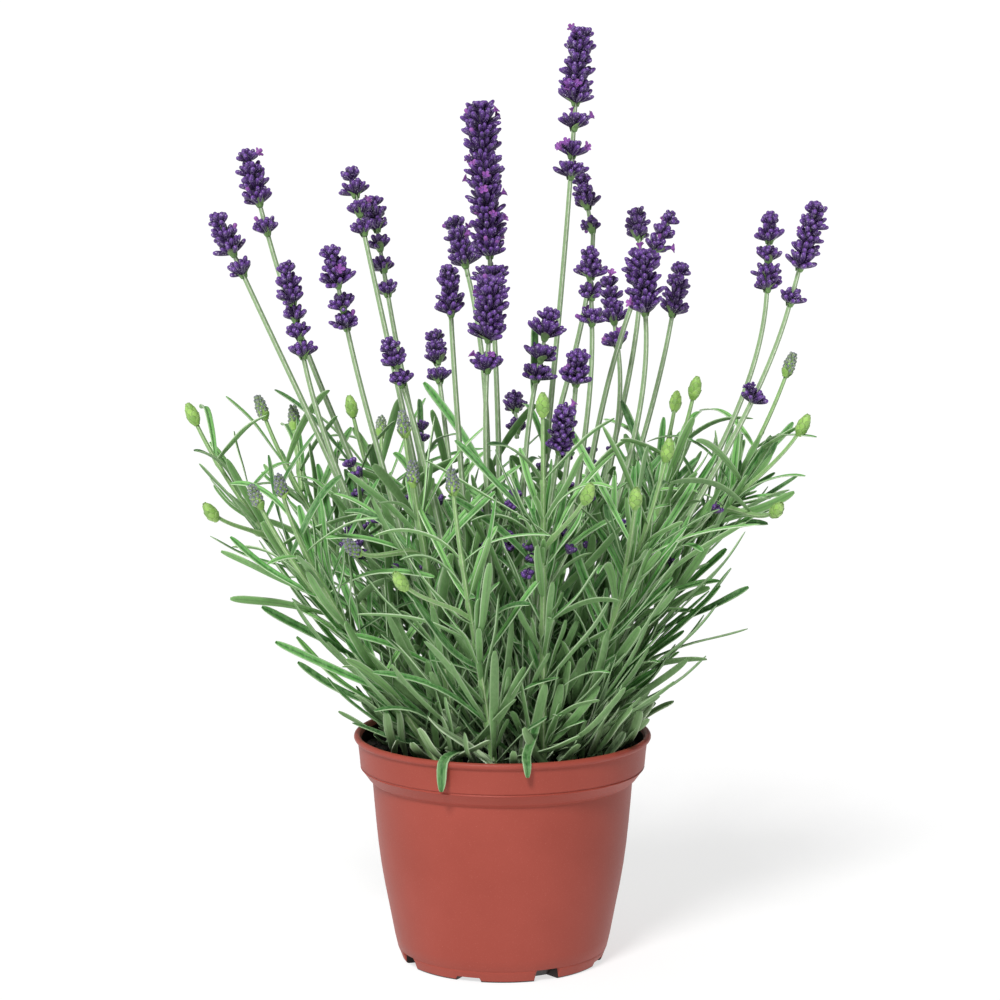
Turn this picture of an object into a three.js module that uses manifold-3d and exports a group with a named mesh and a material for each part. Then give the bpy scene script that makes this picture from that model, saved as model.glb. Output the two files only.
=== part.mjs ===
// Potted lavender: a tapered nursery pot of compost with flowering stems and leafy shoots.
// Millimetres, +Z up, front of the plant towards -Y. The origin is on the floor under the pot's axis.
import * as THREE from "three";
import { mergeVertices } from "three/addons/utils/BufferGeometryUtils.js";
import Module from "manifold-3d";

const wasm = await Module();
wasm.setup();

// ---------------------------------------------------------------- driving dimensions

const POT_HEIGHT = 93;
const RIM_RADIUS = 60;
const WALL_THICKNESS = 1.6;
const POT_SEGMENTS = 36;
const COMPOST_BELOW_RIM = 11;
const GAP = 0.3; // left between pieces that touch

// The pot's outside below its collar, as radius and height: the taper eases off towards the top.
const POT_WALL = [
  [42.4, 4],
  [43.8, 10.3],
  [46.2, 23],
  [49.2, 39.6],
  [51.2, 57],
  [52.6, 74],
];
const COLLAR_BOTTOM = 75.6;
const COLLAR_BEND = 79.4; // the collar is straight above this height
const COLLAR_RADIUS = 57.4; // at the bend; it flares a little up to the rim
const RIM_LIP = 1.4; // how far the rim's bead stands out from the collar
const RIM_WIDTH = 2.4;

const FOOT_OUTER = 40.4;
const FOOT_INNER = 33;
const FLOOR_UNDERSIDE = 3;
const FLOOR_TOP = FLOOR_UNDERSIDE + 1.8;
const NOTCHES = 12; // drainage notches round the foot, every third one deep
const FIRST_NOTCH = -64.5; // degrees round from the front of the pot
const NOTCH_WIDTH = 9;
const NOTCH_LENGTH = 19; // across the foot, past both of its faces
const DEEP_NOTCH = 5;
const SHALLOW_NOTCH = 1.2;

const SOIL_TOP = POT_HEIGHT - COMPOST_BELOW_RIM;
const STEM_FOOT = SOIL_TOP + GAP;

const STEM_SIDES = 5;
const STEM_STEPS = 7;
const STEM_RADIUS = 1.3; // at the foot; the stalk thins towards its flowers
const STALK_RADIUS = 0.95;
const SPIKE_SIDES = 6;
const AXIS_RADIUS = 1.1; // of a spike's own axis between whorls
const WHORL_HEIGHT = 6.4;
const BUD_LENGTH = 10;
const BUD_RADIUS = 2.4;

const LEAF_SIDES = 3; // a flat upper face and a keel below
const LEAF_STEPS = 3;
const LEAF_KEEL = 0.8;
const LEAF_LENGTH = [40, 66];
const LEAF_HALF_WIDTH = [1.7, 2.3];
const LEAF_SLANT = [20, 58]; // degrees between a leaf and the upward direction where it starts
const SHOOT_LEAF_SPACING = 20;
const STEM_LEAF_SPACING = 28;
const BARE_STALK = 26; // the length below a bud that carries no leaves
const CLEARANCE = 0.35; // between plants
const WIDEST_REACH = 126; // of the foliage from the pot's axis, to the left and right
const DEPTH_SHARE = 0.78; // the plant is this much shallower from front to back
const VASE_SLOPE = 0.72; // how fast the foliage widens with height above the rim

const COLOURS = {
  pot: 0xa8523f,
  compost: 0x1f1a17,
  stem: 0x7f9070,
  shoot: 0x8a9f6f,
  spike: 0x4b3a72,
};

// Flowering stems. Each has a foot on the compost (x, y) and one or two spikes.
// A spike is its tip, its lowest whorl, its radius, the length of its closed crown,
// and how far below the tip each separate lower whorl sits.
const FLOWER_STEMS = [
  {
    foot: [-25, -7],
    leafTop: 190,
    spikes: [
      { tip: [-113, -10, 303], base: [-102, -8, 278], radius: 5.6, crown: 18, low: [24] },
      { tip: [-85, -22, 285], base: [-78, -19, 247], radius: 5.2, crown: 17, low: [21, 28, 36] },
    ],
  },
  {
    foot: [-19, 6],
    leafTop: 200,
    spikes: [{ tip: [-103, 18, 327], base: [-94, 15, 293], radius: 5.8, crown: 23, low: [32] }],
  },
  {
    foot: [-18, -20],
    leafTop: 195,
    spikes: [{ tip: [-66, -45, 292], base: [-60, -37, 260], radius: 5.8, crown: 16, low: [23, 31] }],
  },
  {
    foot: [-16, 17],
    leafTop: 200,
    spikes: [{ tip: [-62, 35, 319], base: [-56, 30, 292], radius: 5.4, crown: 12, low: [17, 25] }],
  },
  {
    foot: [-12, 28],
    leafTop: 205,
    spikes: [
      { tip: [-54, 55, 306], base: [-47, 48, 265], radius: 5.4, crown: 14, low: [19, 28, 38] },
      { tip: [-29, 70, 249], base: [-26, 61, 227], radius: 5.2, crown: 14, low: [19] },
    ],
  },
  {
    foot: [-10, -27],
    leafTop: 185,
    spikes: [{ tip: [-45, -34, 256], base: [-39, -30, 237], radius: 5, crown: 12, low: [17] }],
  },
  {
    foot: [-7, 14],
    leafTop: 200,
    spikes: [{ tip: [-20, 36, 299], base: [-14, 31, 275], radius: 5.6, crown: 21, low: [] }],
  },
  {
    foot: [-9, -10],
    leafTop: 195,
    spikes: [{ tip: [-21, -30, 284], base: [-20, -26, 263], radius: 5.4, crown: 20, low: [] }],
  },
  {
    foot: [0, 3],
    leafTop: 205,
    spikes: [{ tip: [-9, 3, 346], base: [-4, 3, 267], radius: 8, crown: 61, low: [68, 77] }],
  },
  {
    foot: [0, -20],
    leafTop: 190,
    spikes: [{ tip: [-4, -38, 280], base: [-6, -33, 243], radius: 7.2, crown: 25, low: [34] }],
  },
  {
    foot: [9, -21],
    leafTop: 185,
    spikes: [
      { tip: [19, -16, 266], base: [13, -15, 236], radius: 6.6, crown: 12, low: [18, 26] },
      { tip: [29, -50, 252], base: [28, -43, 236], radius: 5.6, crown: 14, low: [] },
    ],
  },
  {
    foot: [8, 8],
    leafTop: 205,
    spikes: [{ tip: [31, 12, 375], base: [27, 10, 316], radius: 6.6, crown: 30, low: [37, 48, 57] }],
  },
  {
    foot: [7, 25],
    leafTop: 200,
    spikes: [
      { tip: [32, 52, 316], base: [37, 45, 291], radius: 5, crown: 15, low: [22] },
      { tip: [5, 72, 223], base: [6, 62, 205], radius: 4.8, crown: 8, low: [15] },
    ],
  },
  {
    foot: [12, -7],
    leafTop: 190,
    spikes: [{ tip: [34, -20, 291], base: [35, -17, 260], radius: 5.4, crown: 13, low: [18, 29] }],
  },
  {
    foot: [15, 17],
    leafTop: 200,
    spikes: [{ tip: [43, 42, 274], base: [47, 37, 246], radius: 5.4, crown: 19, low: [27] }],
  },
  {
    foot: [18, 30],
    leafTop: 195,
    spikes: [{ tip: [56, 76, 300], base: [57, 67, 285], radius: 4.8, crown: 14, low: [] }],
  },
  {
    foot: [20, 3],
    leafTop: 195,
    spikes: [{ tip: [68, 6, 303], base: [60, 5, 286], radius: 5, crown: 18, low: [] }],
  },
  {
    foot: [18, -16],
    leafTop: 190,
    spikes: [{ tip: [54, -20, 289], base: [56, -17, 262], radius: 7.6, crown: 25, low: [] }],
  },
  {
    foot: [24, 13],
    leafTop: 195,
    spikes: [{ tip: [73, 40, 280], base: [69, 34, 258], radius: 5.6, crown: 22, low: [] }],
  },
  {
    foot: [28, -1],
    leafTop: 185,
    spikes: [{ tip: [106, 2, 303], base: [105, 2, 272], radius: 5.6, crown: 12, low: [17, 24, 30] }],
  },
  {
    foot: [27, -12],
    leafTop: 185,
    spikes: [{ tip: [122, -26, 308], base: [112, -22, 268], radius: 5.6, crown: 27, low: [41] }],
  },
  {
    foot: [7, -31],
    leafTop: 180,
    spikes: [{ tip: [24, -78, 234], base: [21, -68, 214], radius: 5.2, crown: 20, low: [] }],
  },
];

// Leafy shoots. Each has a foot and one or more green buds; the first bud ends its main axis
// and the others end side stalks that leave the axis at the share of its length given by fork.
const LEAFY_SHOOTS = [
  { foot: [-33, -3], buds: [[-124, -14, 228], [-116, -35, 191]], fork: 0.5 },
  { foot: [-27, 16], buds: [[-99, 24, 226], [-86, 40, 220]], fork: 0.62 },
  { foot: [-26, -19], buds: [[-96, -52, 200], [-86, -66, 206]], fork: 0.45 },
  { foot: [-20, 29], buds: [[-64, 60, 223], [-52, 96, 209]], fork: 0.55 },
  { foot: [-17, -31], buds: [[-38, -58, 229], [-34, -76, 212], [-58, -88, 184]], fork: 0.42 },
  { foot: [-3, -36], buds: [[-19, -90, 211], [-40, -96, 174]], fork: 0.4 },
  { foot: [16, -31], buds: [[15, -86, 240], [33, -94, 207]], fork: 0.48 },
  { foot: [26, -25], buds: [[64, -54, 219], [50, -84, 204]], fork: 0.45 },
  { foot: [33, 6], buds: [[77, -8, 238], [73, 66, 224]], fork: 0.4 },
  { foot: [34, -9], buds: [[117, 18, 244], [121, -10, 223], [108, -42, 192]], fork: 0.42 },
];

// ---------------------------------------------------------------- helpers

const vector = (x, y, z) => new THREE.Vector3(x, y, z);
const pointOf = (list) => new THREE.Vector3().fromArray(list);
const radians = THREE.MathUtils.degToRad;
const UP = vector(0, 0, 1);

// A repeatable sequence of numbers between 0 and 1, so that every build is the same plant.
function seededNumbers(seed) {
  let state = seed;
  return () => {
    state = (state + 0x6d2b79f5) | 0;
    let mixed = Math.imul(state ^ (state >>> 15), 1 | state);
    mixed = (mixed + Math.imul(mixed ^ (mixed >>> 7), 61 | mixed)) ^ mixed;
    return ((mixed ^ (mixed >>> 14)) >>> 0) / 4294967296;
  };
}

const chance = seededNumbers(12);
const between = (low, high) => low + (high - low) * chance();

function solidFrom(geometry) {
  const bare = geometry.index ? geometry.clone() : geometry;
  bare.deleteAttribute("normal");
  bare.deleteAttribute("uv");
  const merged = mergeVertices(bare, 1e-4);
  return new wasm.Manifold(
    new wasm.Mesh({
      numProp: 3,
      vertProperties: merged.getAttribute("position").array,
      triVerts: new Uint32Array(merged.index.array),
    }),
  );
}

function geometryFrom(solid) {
  const mesh = solid.getMesh();
  const geometry = new THREE.BufferGeometry();
  geometry.setAttribute("position", new THREE.BufferAttribute(mesh.vertProperties, 3));
  geometry.setIndex(new THREE.BufferAttribute(mesh.triVerts, 1));
  geometry.computeVertexNormals();
  return geometry;
}

function material(colour, roughness) {
  return new THREE.MeshStandardMaterial({ color: colour, roughness, metalness: 0 });
}

function namedMesh(name, geometry, look) {
  const mesh = new THREE.Mesh(geometry, look);
  mesh.name = name;
  return mesh;
}

// A closed solid drawn out along a curve: the rings of a cone or a cylinder, moved onto the curve.
// Each ring is { at, across, thick }: where it is along the curve and its two half widths.
function drawnOut(curve, rings, sides, pointed, sideways) {
  const steps = rings.length - 1;
  const plain = pointed
    ? new THREE.ConeGeometry(1, 1, sides, steps)
    : new THREE.CylinderGeometry(1, 1, 1, sides, steps);
  const places = plain.getAttribute("position");
  const frames = rings.map((ring) => {
    const along = curve.getTangent(ring.at);
    const across = sideways.clone().addScaledVector(along, -sideways.dot(along)).normalize();
    const outward = across.clone().cross(along);
    return { centre: curve.getPoint(ring.at), across, outward };
  });
  const vertex = new THREE.Vector3();
  for (let i = 0; i < places.count; i += 1) {
    vertex.fromBufferAttribute(places, i);
    const index = Math.round((vertex.y + 0.5) * steps);
    const reach = pointed ? 1 - index / steps : 1;
    const share = reach > 0 ? 1 / reach : 0;
    const { centre, across, outward } = frames[index];
    const place = centre
      .clone()
      .addScaledVector(across, vertex.x * share * rings[index].across)
      .addScaledVector(outward, vertex.z * share * rings[index].thick);
    places.setXYZ(i, place.x, place.y, place.z);
  }
  return plain;
}

// ---------------------------------------------------------------- keeping plants apart

const occupied = [];

function segmentsOf(curve, radiusAt, owner, pieces) {
  const list = [];
  for (let i = 0; i < pieces; i += 1) {
    const start = i / pieces;
    const end = (i + 1) / pieces;
    const radius = Math.max(radiusAt(start), radiusAt(end));
    list.push({ a: curve.getPoint(start), b: curve.getPoint(end), radius, owner });
  }
  return list;
}

// The least distance between two straight segments.
function segmentDistance(p, q) {
  const d1 = q.b.clone().sub(q.a);
  const d2 = p.b.clone().sub(p.a);
  const gap = q.a.clone().sub(p.a);
  const a = d1.lengthSq();
  const e = d2.lengthSq();
  const b = d1.dot(d2);
  const c = d1.dot(gap);
  const f = d2.dot(gap);
  const denominator = a * e - b * b;
  let s = denominator > 1e-9 ? THREE.MathUtils.clamp((b * f - c * e) / denominator, 0, 1) : 0;
  let t = (b * s + f) / e;
  if (t < 0 || t > 1) {
    t = THREE.MathUtils.clamp(t, 0, 1);
    s = THREE.MathUtils.clamp((b * t - c) / a, 0, 1);
  }
  const onQ = q.a.clone().addScaledVector(d1, s);
  const onP = p.a.clone().addScaledVector(d2, t);
  return onQ.distanceTo(onP);
}

function isClear(segments, ignoredOwners) {
  return segments.every((mine) =>
    occupied.every((other) => {
      if (ignoredOwners.includes(other.owner)) {
        return true;
      }
      const need = mine.radius + other.radius + CLEARANCE;
      if (Math.abs(mine.a.z - other.a.z) > need + 60) {
        return true;
      }
      return segmentDistance(mine, other) > need;
    }),
  );
}

// How far leaves reach from the pot's axis at a height: the plant opens upwards like a vase.
const plantReach = (z) => Math.min(WIDEST_REACH, RIM_RADIUS + 8 + (z - POT_HEIGHT) * VASE_SLOPE);

// Leaves stay inside the plant's outline and above the compost, and pass over the pot's rim.
function hasRoom(segments) {
  return segments.every(({ a, b, radius }) =>
    [a, b].every((place) => {
      const out = Math.hypot(place.x, place.y / DEPTH_SHARE);
      const fromAxis = Math.hypot(place.x, place.y);
      const overRim = Math.abs(fromAxis - RIM_RADIUS + 4) < 10;
      const lowest = overRim ? POT_HEIGHT + 1.5 : SOIL_TOP + 1;
      return out < plantReach(place.z) && place.z > lowest + radius;
    }),
  );
}

// ---------------------------------------------------------------- pot

// The inner face of the wall, from the floor up.
const innerWall = () => POT_WALL.slice(1).map(([r, z]) => [r - WALL_THICKNESS, z]);

function potProfile() {
  const collarTop = RIM_RADIUS - RIM_LIP;
  const foot = [
    [FOOT_OUTER, 0],
    [41.6, 1.2],
  ];
  const collar = [
    [54.2, COLLAR_BOTTOM],
    [COLLAR_RADIUS, COLLAR_BEND],
    [collarTop, POT_HEIGHT - 3],
  ];
  const rim = [
    [RIM_RADIUS, POT_HEIGHT - 2],
    [RIM_RADIUS - 0.2, POT_HEIGHT - 0.3],
    [RIM_RADIUS - 0.8, POT_HEIGHT],
    [RIM_RADIUS - RIM_WIDTH, POT_HEIGHT],
    [collarTop - WALL_THICKNESS - 0.2, POT_HEIGHT - 1],
    [COLLAR_RADIUS - WALL_THICKNESS, COLLAR_BEND],
  ];
  const bottom = [
    [40.5, FLOOR_TOP + 1.5],
    [39.5, FLOOR_TOP],
    [0, FLOOR_TOP],
    [0, FLOOR_UNDERSIDE],
    [FOOT_INNER - 1.5, FLOOR_UNDERSIDE],
    [FOOT_INNER, 0],
    [FOOT_OUTER, 0],
  ];
  const corners = [...foot, ...POT_WALL, ...collar, ...rim, ...innerWall().reverse(), ...bottom];
  return corners.map(([r, z]) => new THREE.Vector2(r, z));
}

// Turned round the Z axis from a profile of radius and height.
function turned(profile) {
  const geometry = new THREE.LatheGeometry(profile, POT_SEGMENTS);
  geometry.rotateX(Math.PI / 2);
  return geometry;
}

function notchCutter(index) {
  const isDeep = index % 3 === 0;
  const height = isDeep ? DEEP_NOTCH : SHALLOW_NOTCH;
  const angle = radians(FIRST_NOTCH + (index * 360) / NOTCHES);
  const block = new THREE.BoxGeometry(NOTCH_WIDTH, NOTCH_LENGTH, 2 * height);
  block.translate(0, -(FOOT_OUTER + FOOT_INNER) / 2, 0);
  block.rotateZ(angle);
  return solidFrom(block);
}

function makePot() {
  let solid = solidFrom(turned(potProfile()));
  for (let index = 0; index < NOTCHES; index += 1) {
    solid = solid.subtract(notchCutter(index));
  }
  return namedMesh("pot", geometryFrom(solid), material(COLOURS.pot, 0.7));
}

// ---------------------------------------------------------------- compost

function makeCompost() {
  const bed = FLOOR_TOP + GAP;
  const inner = [[39, bed], [40.3, FLOOR_TOP + 1.9], ...innerWall(), [55.4, COLLAR_BEND + 0.4], [55.7, SOIL_TOP]];
  const outline = inner.map(([r, z]) => new THREE.Vector2(r - GAP, z));
  const profile = [new THREE.Vector2(0, bed), ...outline, new THREE.Vector2(0, SOIL_TOP)];
  return namedMesh("compost", geometryFrom(solidFrom(turned(profile))), material(COLOURS.compost, 1));
}

// ---------------------------------------------------------------- stems and leaves

// A stalk's curve from its foot: it rises with a lean and arrives along the direction given.
function stalkCurve(foot, end, arrival, bow) {
  const span = foot.distanceTo(end);
  const leaving = end.clone().sub(foot).normalize().lerp(UP, 0.35).normalize();
  const first = foot.clone().addScaledVector(leaving, span * 0.36).add(bow);
  const second = end.clone().addScaledVector(arrival, -span * 0.3).addScaledVector(bow, 0.6);
  return new THREE.CubicBezierCurve3(foot, first, second, end);
}

// Tries the straightest stalk first and then ones bowed further aside, and keeps the first clear one.
function clearStalk(foot, end, arrival, owner, radiusAt, ownSpikes) {
  const turns = 8;
  for (let reach = 0; reach <= 30; reach += 2.5) {
    for (let turn = 0; turn < turns; turn += 1) {
      const angle = (turn / turns) * 2 * Math.PI;
      const bow = vector(Math.cos(angle) * reach, Math.sin(angle) * reach, 0);
      const curve = stalkCurve(foot, end, arrival, bow);
      const segments = segmentsOf(curve, radiusAt, owner, 12);
      if (isClear(segments, [owner, ...ownSpikes])) {
        occupied.push(...segments);
        return curve;
      }
    }
  }
  throw new Error("no clear way for " + owner);
}

function stemSolid(curve, footRadius, topRadius) {
  const rings = [];
  for (let step = 0; step <= STEM_STEPS; step += 1) {
    const at = step / STEM_STEPS;
    const radius = THREE.MathUtils.lerp(footRadius, topRadius, at);
    rings.push({ at, across: radius, thick: radius });
  }
  return solidFrom(drawnOut(curve, rings, STEM_SIDES, false, vector(1, 0, 0)));
}

// A bud stalk thins from its start and swells into a pointed spindle at its end.
function budStalk(curve) {
  const budShare = BUD_LENGTH / curve.getLength();
  const stalk = [0, 0.25, 0.5, 0.75].map((at) => [at * (1 - budShare), 1.15 - 0.35 * at]);
  const swelling = [
    [1 - budShare, 0.8],
    [1 - 0.72 * budShare, BUD_RADIUS * 0.9],
    [1 - 0.4 * budShare, BUD_RADIUS],
    [1, 0],
  ];
  const rings = [...stalk, ...swelling].map(([at, radius]) => ({ at, across: radius, thick: radius }));
  return solidFrom(drawnOut(curve, rings, STEM_SIDES, true, vector(1, 0, 0)));
}

// A leaf's width along it: narrow at the stalk, widest past the middle.
const leafShare = (at) => (at === 0 ? 0.45 : Math.max(0.3, Math.sin(Math.PI * (0.12 + 0.88 * at)) ** 0.6));

function leafSolid(curve, halfWidth, sideways) {
  const rings = [];
  for (let step = 0; step <= LEAF_STEPS; step += 1) {
    const at = step / LEAF_STEPS;
    const share = leafShare(at);
    rings.push({ at, across: halfWidth * share, thick: LEAF_KEEL });
  }
  return solidFrom(drawnOut(curve, rings, LEAF_SIDES, true, sideways));
}

// One leaf from a point on a stalk. It leaves the stalk at a slant and bends over towards its tip.
function tryLeaf(root, heading, slant, length, droop, halfWidth, owner) {
  const outward = vector(Math.cos(heading), Math.sin(heading), 0);
  const leaving = outward.clone().multiplyScalar(Math.sin(slant)).addScaledVector(UP, Math.cos(slant));
  const middle = root.clone().addScaledVector(leaving, length * 0.5);
  const tip = middle.clone().addScaledVector(leaving, length * 0.5 * (1 - droop * 0.4));
  tip.addScaledVector(outward, length * 0.25 * droop).addScaledVector(UP, -length * 0.55 * droop);
  const curve = new THREE.QuadraticBezierCurve3(root, middle, tip);
  const segments = segmentsOf(curve, () => halfWidth * 1.02, owner + "/leaf", 4);
  if (!hasRoom(segments.slice(1))) {
    return null;
  }
  if (!isClear(segments, [owner, owner + "/leaf"])) {
    return null;
  }
  const sisters = occupied.filter((other) => other.owner === owner + "/leaf");
  const blocked = segments.slice(1).some((mine) =>
    sisters.some((other) => segmentDistance(mine, other) < mine.radius + other.radius + CLEARANCE),
  );
  if (blocked) {
    return null;
  }
  occupied.push(...segments);
  const sideways = UP.clone().cross(outward).applyAxisAngle(leaving, between(-1.1, 1.1));
  return leafSolid(curve, halfWidth, sideways);
}

// Opposite pairs of leaves up a stalk, each pair turned a quarter round from the one below.
function leavesAlong(curve, owner, lowest, highest, spacing) {
  const solids = [];
  const length = curve.getLength();
  const firstHeading = between(0, Math.PI);
  let pair = 0;
  for (let along = lowest; along < highest; along += spacing * between(0.9, 1.15)) {
    const root = curve.getPointAt(Math.min(0.95, along / length));
    for (const side of [0, Math.PI]) {
      for (let attempt = 0; attempt < 7; attempt += 1) {
        const heading = firstHeading + side + (pair * Math.PI) / 2 + between(-0.35, 0.35) * (1 + attempt);
        const slant = radians(between(...LEAF_SLANT));
        const size = between(...LEAF_LENGTH) * (attempt > 3 ? 0.75 : 1);
        const droop = between(0.1, 1);
        const leaf = tryLeaf(root, heading, slant, size, droop, between(...LEAF_HALF_WIDTH), owner);
        if (leaf) {
          solids.push(leaf);
          break;
        }
      }
    }
    pair += 1;
  }
  return solids;
}

// Several solids that grow together, as one named mesh.
function joined(name, solids, look) {
  let whole = solids[0];
  for (const solid of solids.slice(1)) {
    whole = whole.add(solid);
  }
  return namedMesh(name, geometryFrom(whole), look);
}

// ---------------------------------------------------------------- flower spikes

// The rings of a spike from its lowest whorl up to its tip, as distances below the tip and radii.
function spikeRings(spike, length) {
  const whorls = spike.low.map((below) => ({ below, radius: spike.radius }));
  const count = Math.max(2, Math.round(spike.crown / WHORL_HEIGHT));
  const height = spike.crown / count;
  const rings = [[length, AXIS_RADIUS]];
  for (const whorl of [...whorls].reverse()) {
    const half = WHORL_HEIGHT / 2;
    rings.push([Math.min(length, whorl.below + half), AXIS_RADIUS]);
    rings.push([whorl.below + half * 0.25, whorl.radius * 0.9]);
    rings.push([whorl.below - half * 0.55, whorl.radius * 0.85]);
    rings.push([whorl.below - half * 0.95, AXIS_RADIUS]);
  }
  for (let index = 0; index < count; index += 1) {
    const bottom = spike.crown - index * height;
    const share = 1 - 0.32 * (index / count);
    rings.push([bottom, index === 0 ? AXIS_RADIUS : spike.radius * share * 0.72]);
    rings.push([bottom - height * 0.4, spike.radius * share]);
  }
  rings.push([0, 0]);
  return rings.filter(([below], index) => index === 0 || below < rings[index - 1][0] - 0.2);
}

function makeSpike(name, spike) {
  const tip = pointOf(spike.tip);
  const base = pointOf(spike.base);
  const length = tip.distanceTo(base);
  const line = new THREE.LineCurve3(tip, base);
  const reversed = new THREE.LineCurve3(base, tip);
  const rings = spikeRings(spike, length).map(([below, radius]) => ({
    at: 1 - Math.min(1, below / length),
    across: radius,
    thick: radius,
  }));
  const geometry = drawnOut(reversed, rings, SPIKE_SIDES, true, vector(1, 0, 0));
  const wide = segmentsOf(line, () => spike.radius, name, 3);
  occupied.push(...wide);
  return namedMesh(name, geometryFrom(solidFrom(geometry)), material(COLOURS.spike, 0.85));
}

// ---------------------------------------------------------------- whole plant

const numbered = (word, index) => word + "_" + String(index).padStart(2, "0");

const plant = new THREE.Group();
plant.name = "potted_lavender";
plant.add(makePot());
plant.add(makeCompost());

let spikeNumber = 0;
const spikeNames = FLOWER_STEMS.map((stem) =>
  stem.spikes.map((spike) => {
    spikeNumber += 1;
    const name = numbered("flower_spike", spikeNumber);
    plant.add(makeSpike(name, spike));
    return name;
  }),
);

// All stalks find their way first, so that leaves can then fill the room that is left.
const stemPlans = FLOWER_STEMS.map((stem, index) => {
  const name = numbered("flower_stem", index + 1);
  const foot = vector(stem.foot[0], stem.foot[1], STEM_FOOT);
  const curves = stem.spikes.map((spike) => {
    const base = pointOf(spike.base);
    const arrival = pointOf(spike.tip).sub(base).normalize();
    const end = base.clone().addScaledVector(arrival, -GAP);
    return clearStalk(foot, end, arrival, name, () => STEM_RADIUS, spikeNames[index]);
  });
  return { name, stem, curves };
});

const budStalkRadius = (at) => (at > 0.9 ? BUD_RADIUS + 0.2 : STEM_RADIUS);

const shootPlans = LEAFY_SHOOTS.map((shoot, index) => {
  const name = numbered("leafy_shoot", index + 1);
  const foot = vector(shoot.foot[0], shoot.foot[1], STEM_FOOT);
  const ends = shoot.buds.map(pointOf);
  const curves = [];
  ends.forEach((end, number) => {
    const start = number === 0 ? foot : curves[0].getPoint(shoot.fork + 0.08 * number);
    const arrival = end.clone().sub(start).normalize().lerp(UP, 0.45).normalize();
    curves.push(clearStalk(start, end, arrival, name, budStalkRadius, []));
  });
  return { name, shoot, curves };
});

for (const { name, shoot, curves } of shootPlans) {
  const solids = curves.map(budStalk);
  curves.forEach((curve, number) => {
    const length = curve.getLength();
    const lowest = number === 0 ? 5 : 12;
    solids.push(...leavesAlong(curve, name, lowest, length - BARE_STALK, SHOOT_LEAF_SPACING));
  });
  plant.add(joined(name, solids, material(COLOURS.shoot, 0.8)));
}

for (const { name, stem, curves } of stemPlans) {
  const solids = curves.map((curve) => stemSolid(curve, STEM_RADIUS, STALK_RADIUS));
  curves.forEach((curve, number) => {
    const length = curve.getLength();
    const share = (stem.leafTop - STEM_FOOT) / (curve.v3.z - STEM_FOOT);
    const lowest = number === 0 ? 6 : 40;
    solids.push(...leavesAlong(curve, name, lowest, length * Math.min(0.85, share), STEM_LEAF_SPACING));
  });
  plant.add(joined(name, solids, material(COLOURS.stem, 0.8)));
}

export default plant;
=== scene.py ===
"""Potted lavender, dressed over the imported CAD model. Metres, +Z up, the front of the plant towards -Y."""

import functools
import math

import bpy
import numpy as np
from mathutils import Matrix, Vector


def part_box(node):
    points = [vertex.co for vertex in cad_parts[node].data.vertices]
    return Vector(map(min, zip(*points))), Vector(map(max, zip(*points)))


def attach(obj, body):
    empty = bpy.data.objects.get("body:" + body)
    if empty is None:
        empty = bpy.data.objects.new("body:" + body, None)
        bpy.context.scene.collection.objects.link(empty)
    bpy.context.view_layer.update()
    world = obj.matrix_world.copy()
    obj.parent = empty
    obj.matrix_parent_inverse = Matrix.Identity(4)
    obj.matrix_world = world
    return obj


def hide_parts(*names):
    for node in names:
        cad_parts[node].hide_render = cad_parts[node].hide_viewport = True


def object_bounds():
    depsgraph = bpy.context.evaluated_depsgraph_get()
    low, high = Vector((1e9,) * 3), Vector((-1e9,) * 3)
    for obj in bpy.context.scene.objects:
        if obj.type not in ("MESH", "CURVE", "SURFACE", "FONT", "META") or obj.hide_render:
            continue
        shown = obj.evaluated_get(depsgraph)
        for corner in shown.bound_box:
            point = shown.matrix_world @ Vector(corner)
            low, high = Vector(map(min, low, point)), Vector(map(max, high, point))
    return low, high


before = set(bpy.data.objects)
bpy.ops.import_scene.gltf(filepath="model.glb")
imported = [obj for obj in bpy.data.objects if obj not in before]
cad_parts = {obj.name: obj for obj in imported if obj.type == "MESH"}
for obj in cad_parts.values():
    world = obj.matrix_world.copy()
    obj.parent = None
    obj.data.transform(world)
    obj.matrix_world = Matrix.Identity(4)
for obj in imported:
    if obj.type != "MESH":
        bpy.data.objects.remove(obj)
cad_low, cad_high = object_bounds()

MM = 0.001
UP = np.array([0.0, 0.0, 1.0])
SEED = 7

pot_low, pot_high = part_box("pot")
RIM_RADIUS = pot_high.x
POT_HEIGHT = pot_high.z
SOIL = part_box("compost")[1].z
STEM_STEPS = 7  # lengths that a packed flower stalk is made of, from its foot to its spike
LEAF_FORESHORTEN = math.cos(math.pi / 6)  # a packed leaf's three-cornered ring is this much narrower

nodes_named = lambda start: sorted(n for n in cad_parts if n.startswith(start))


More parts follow.
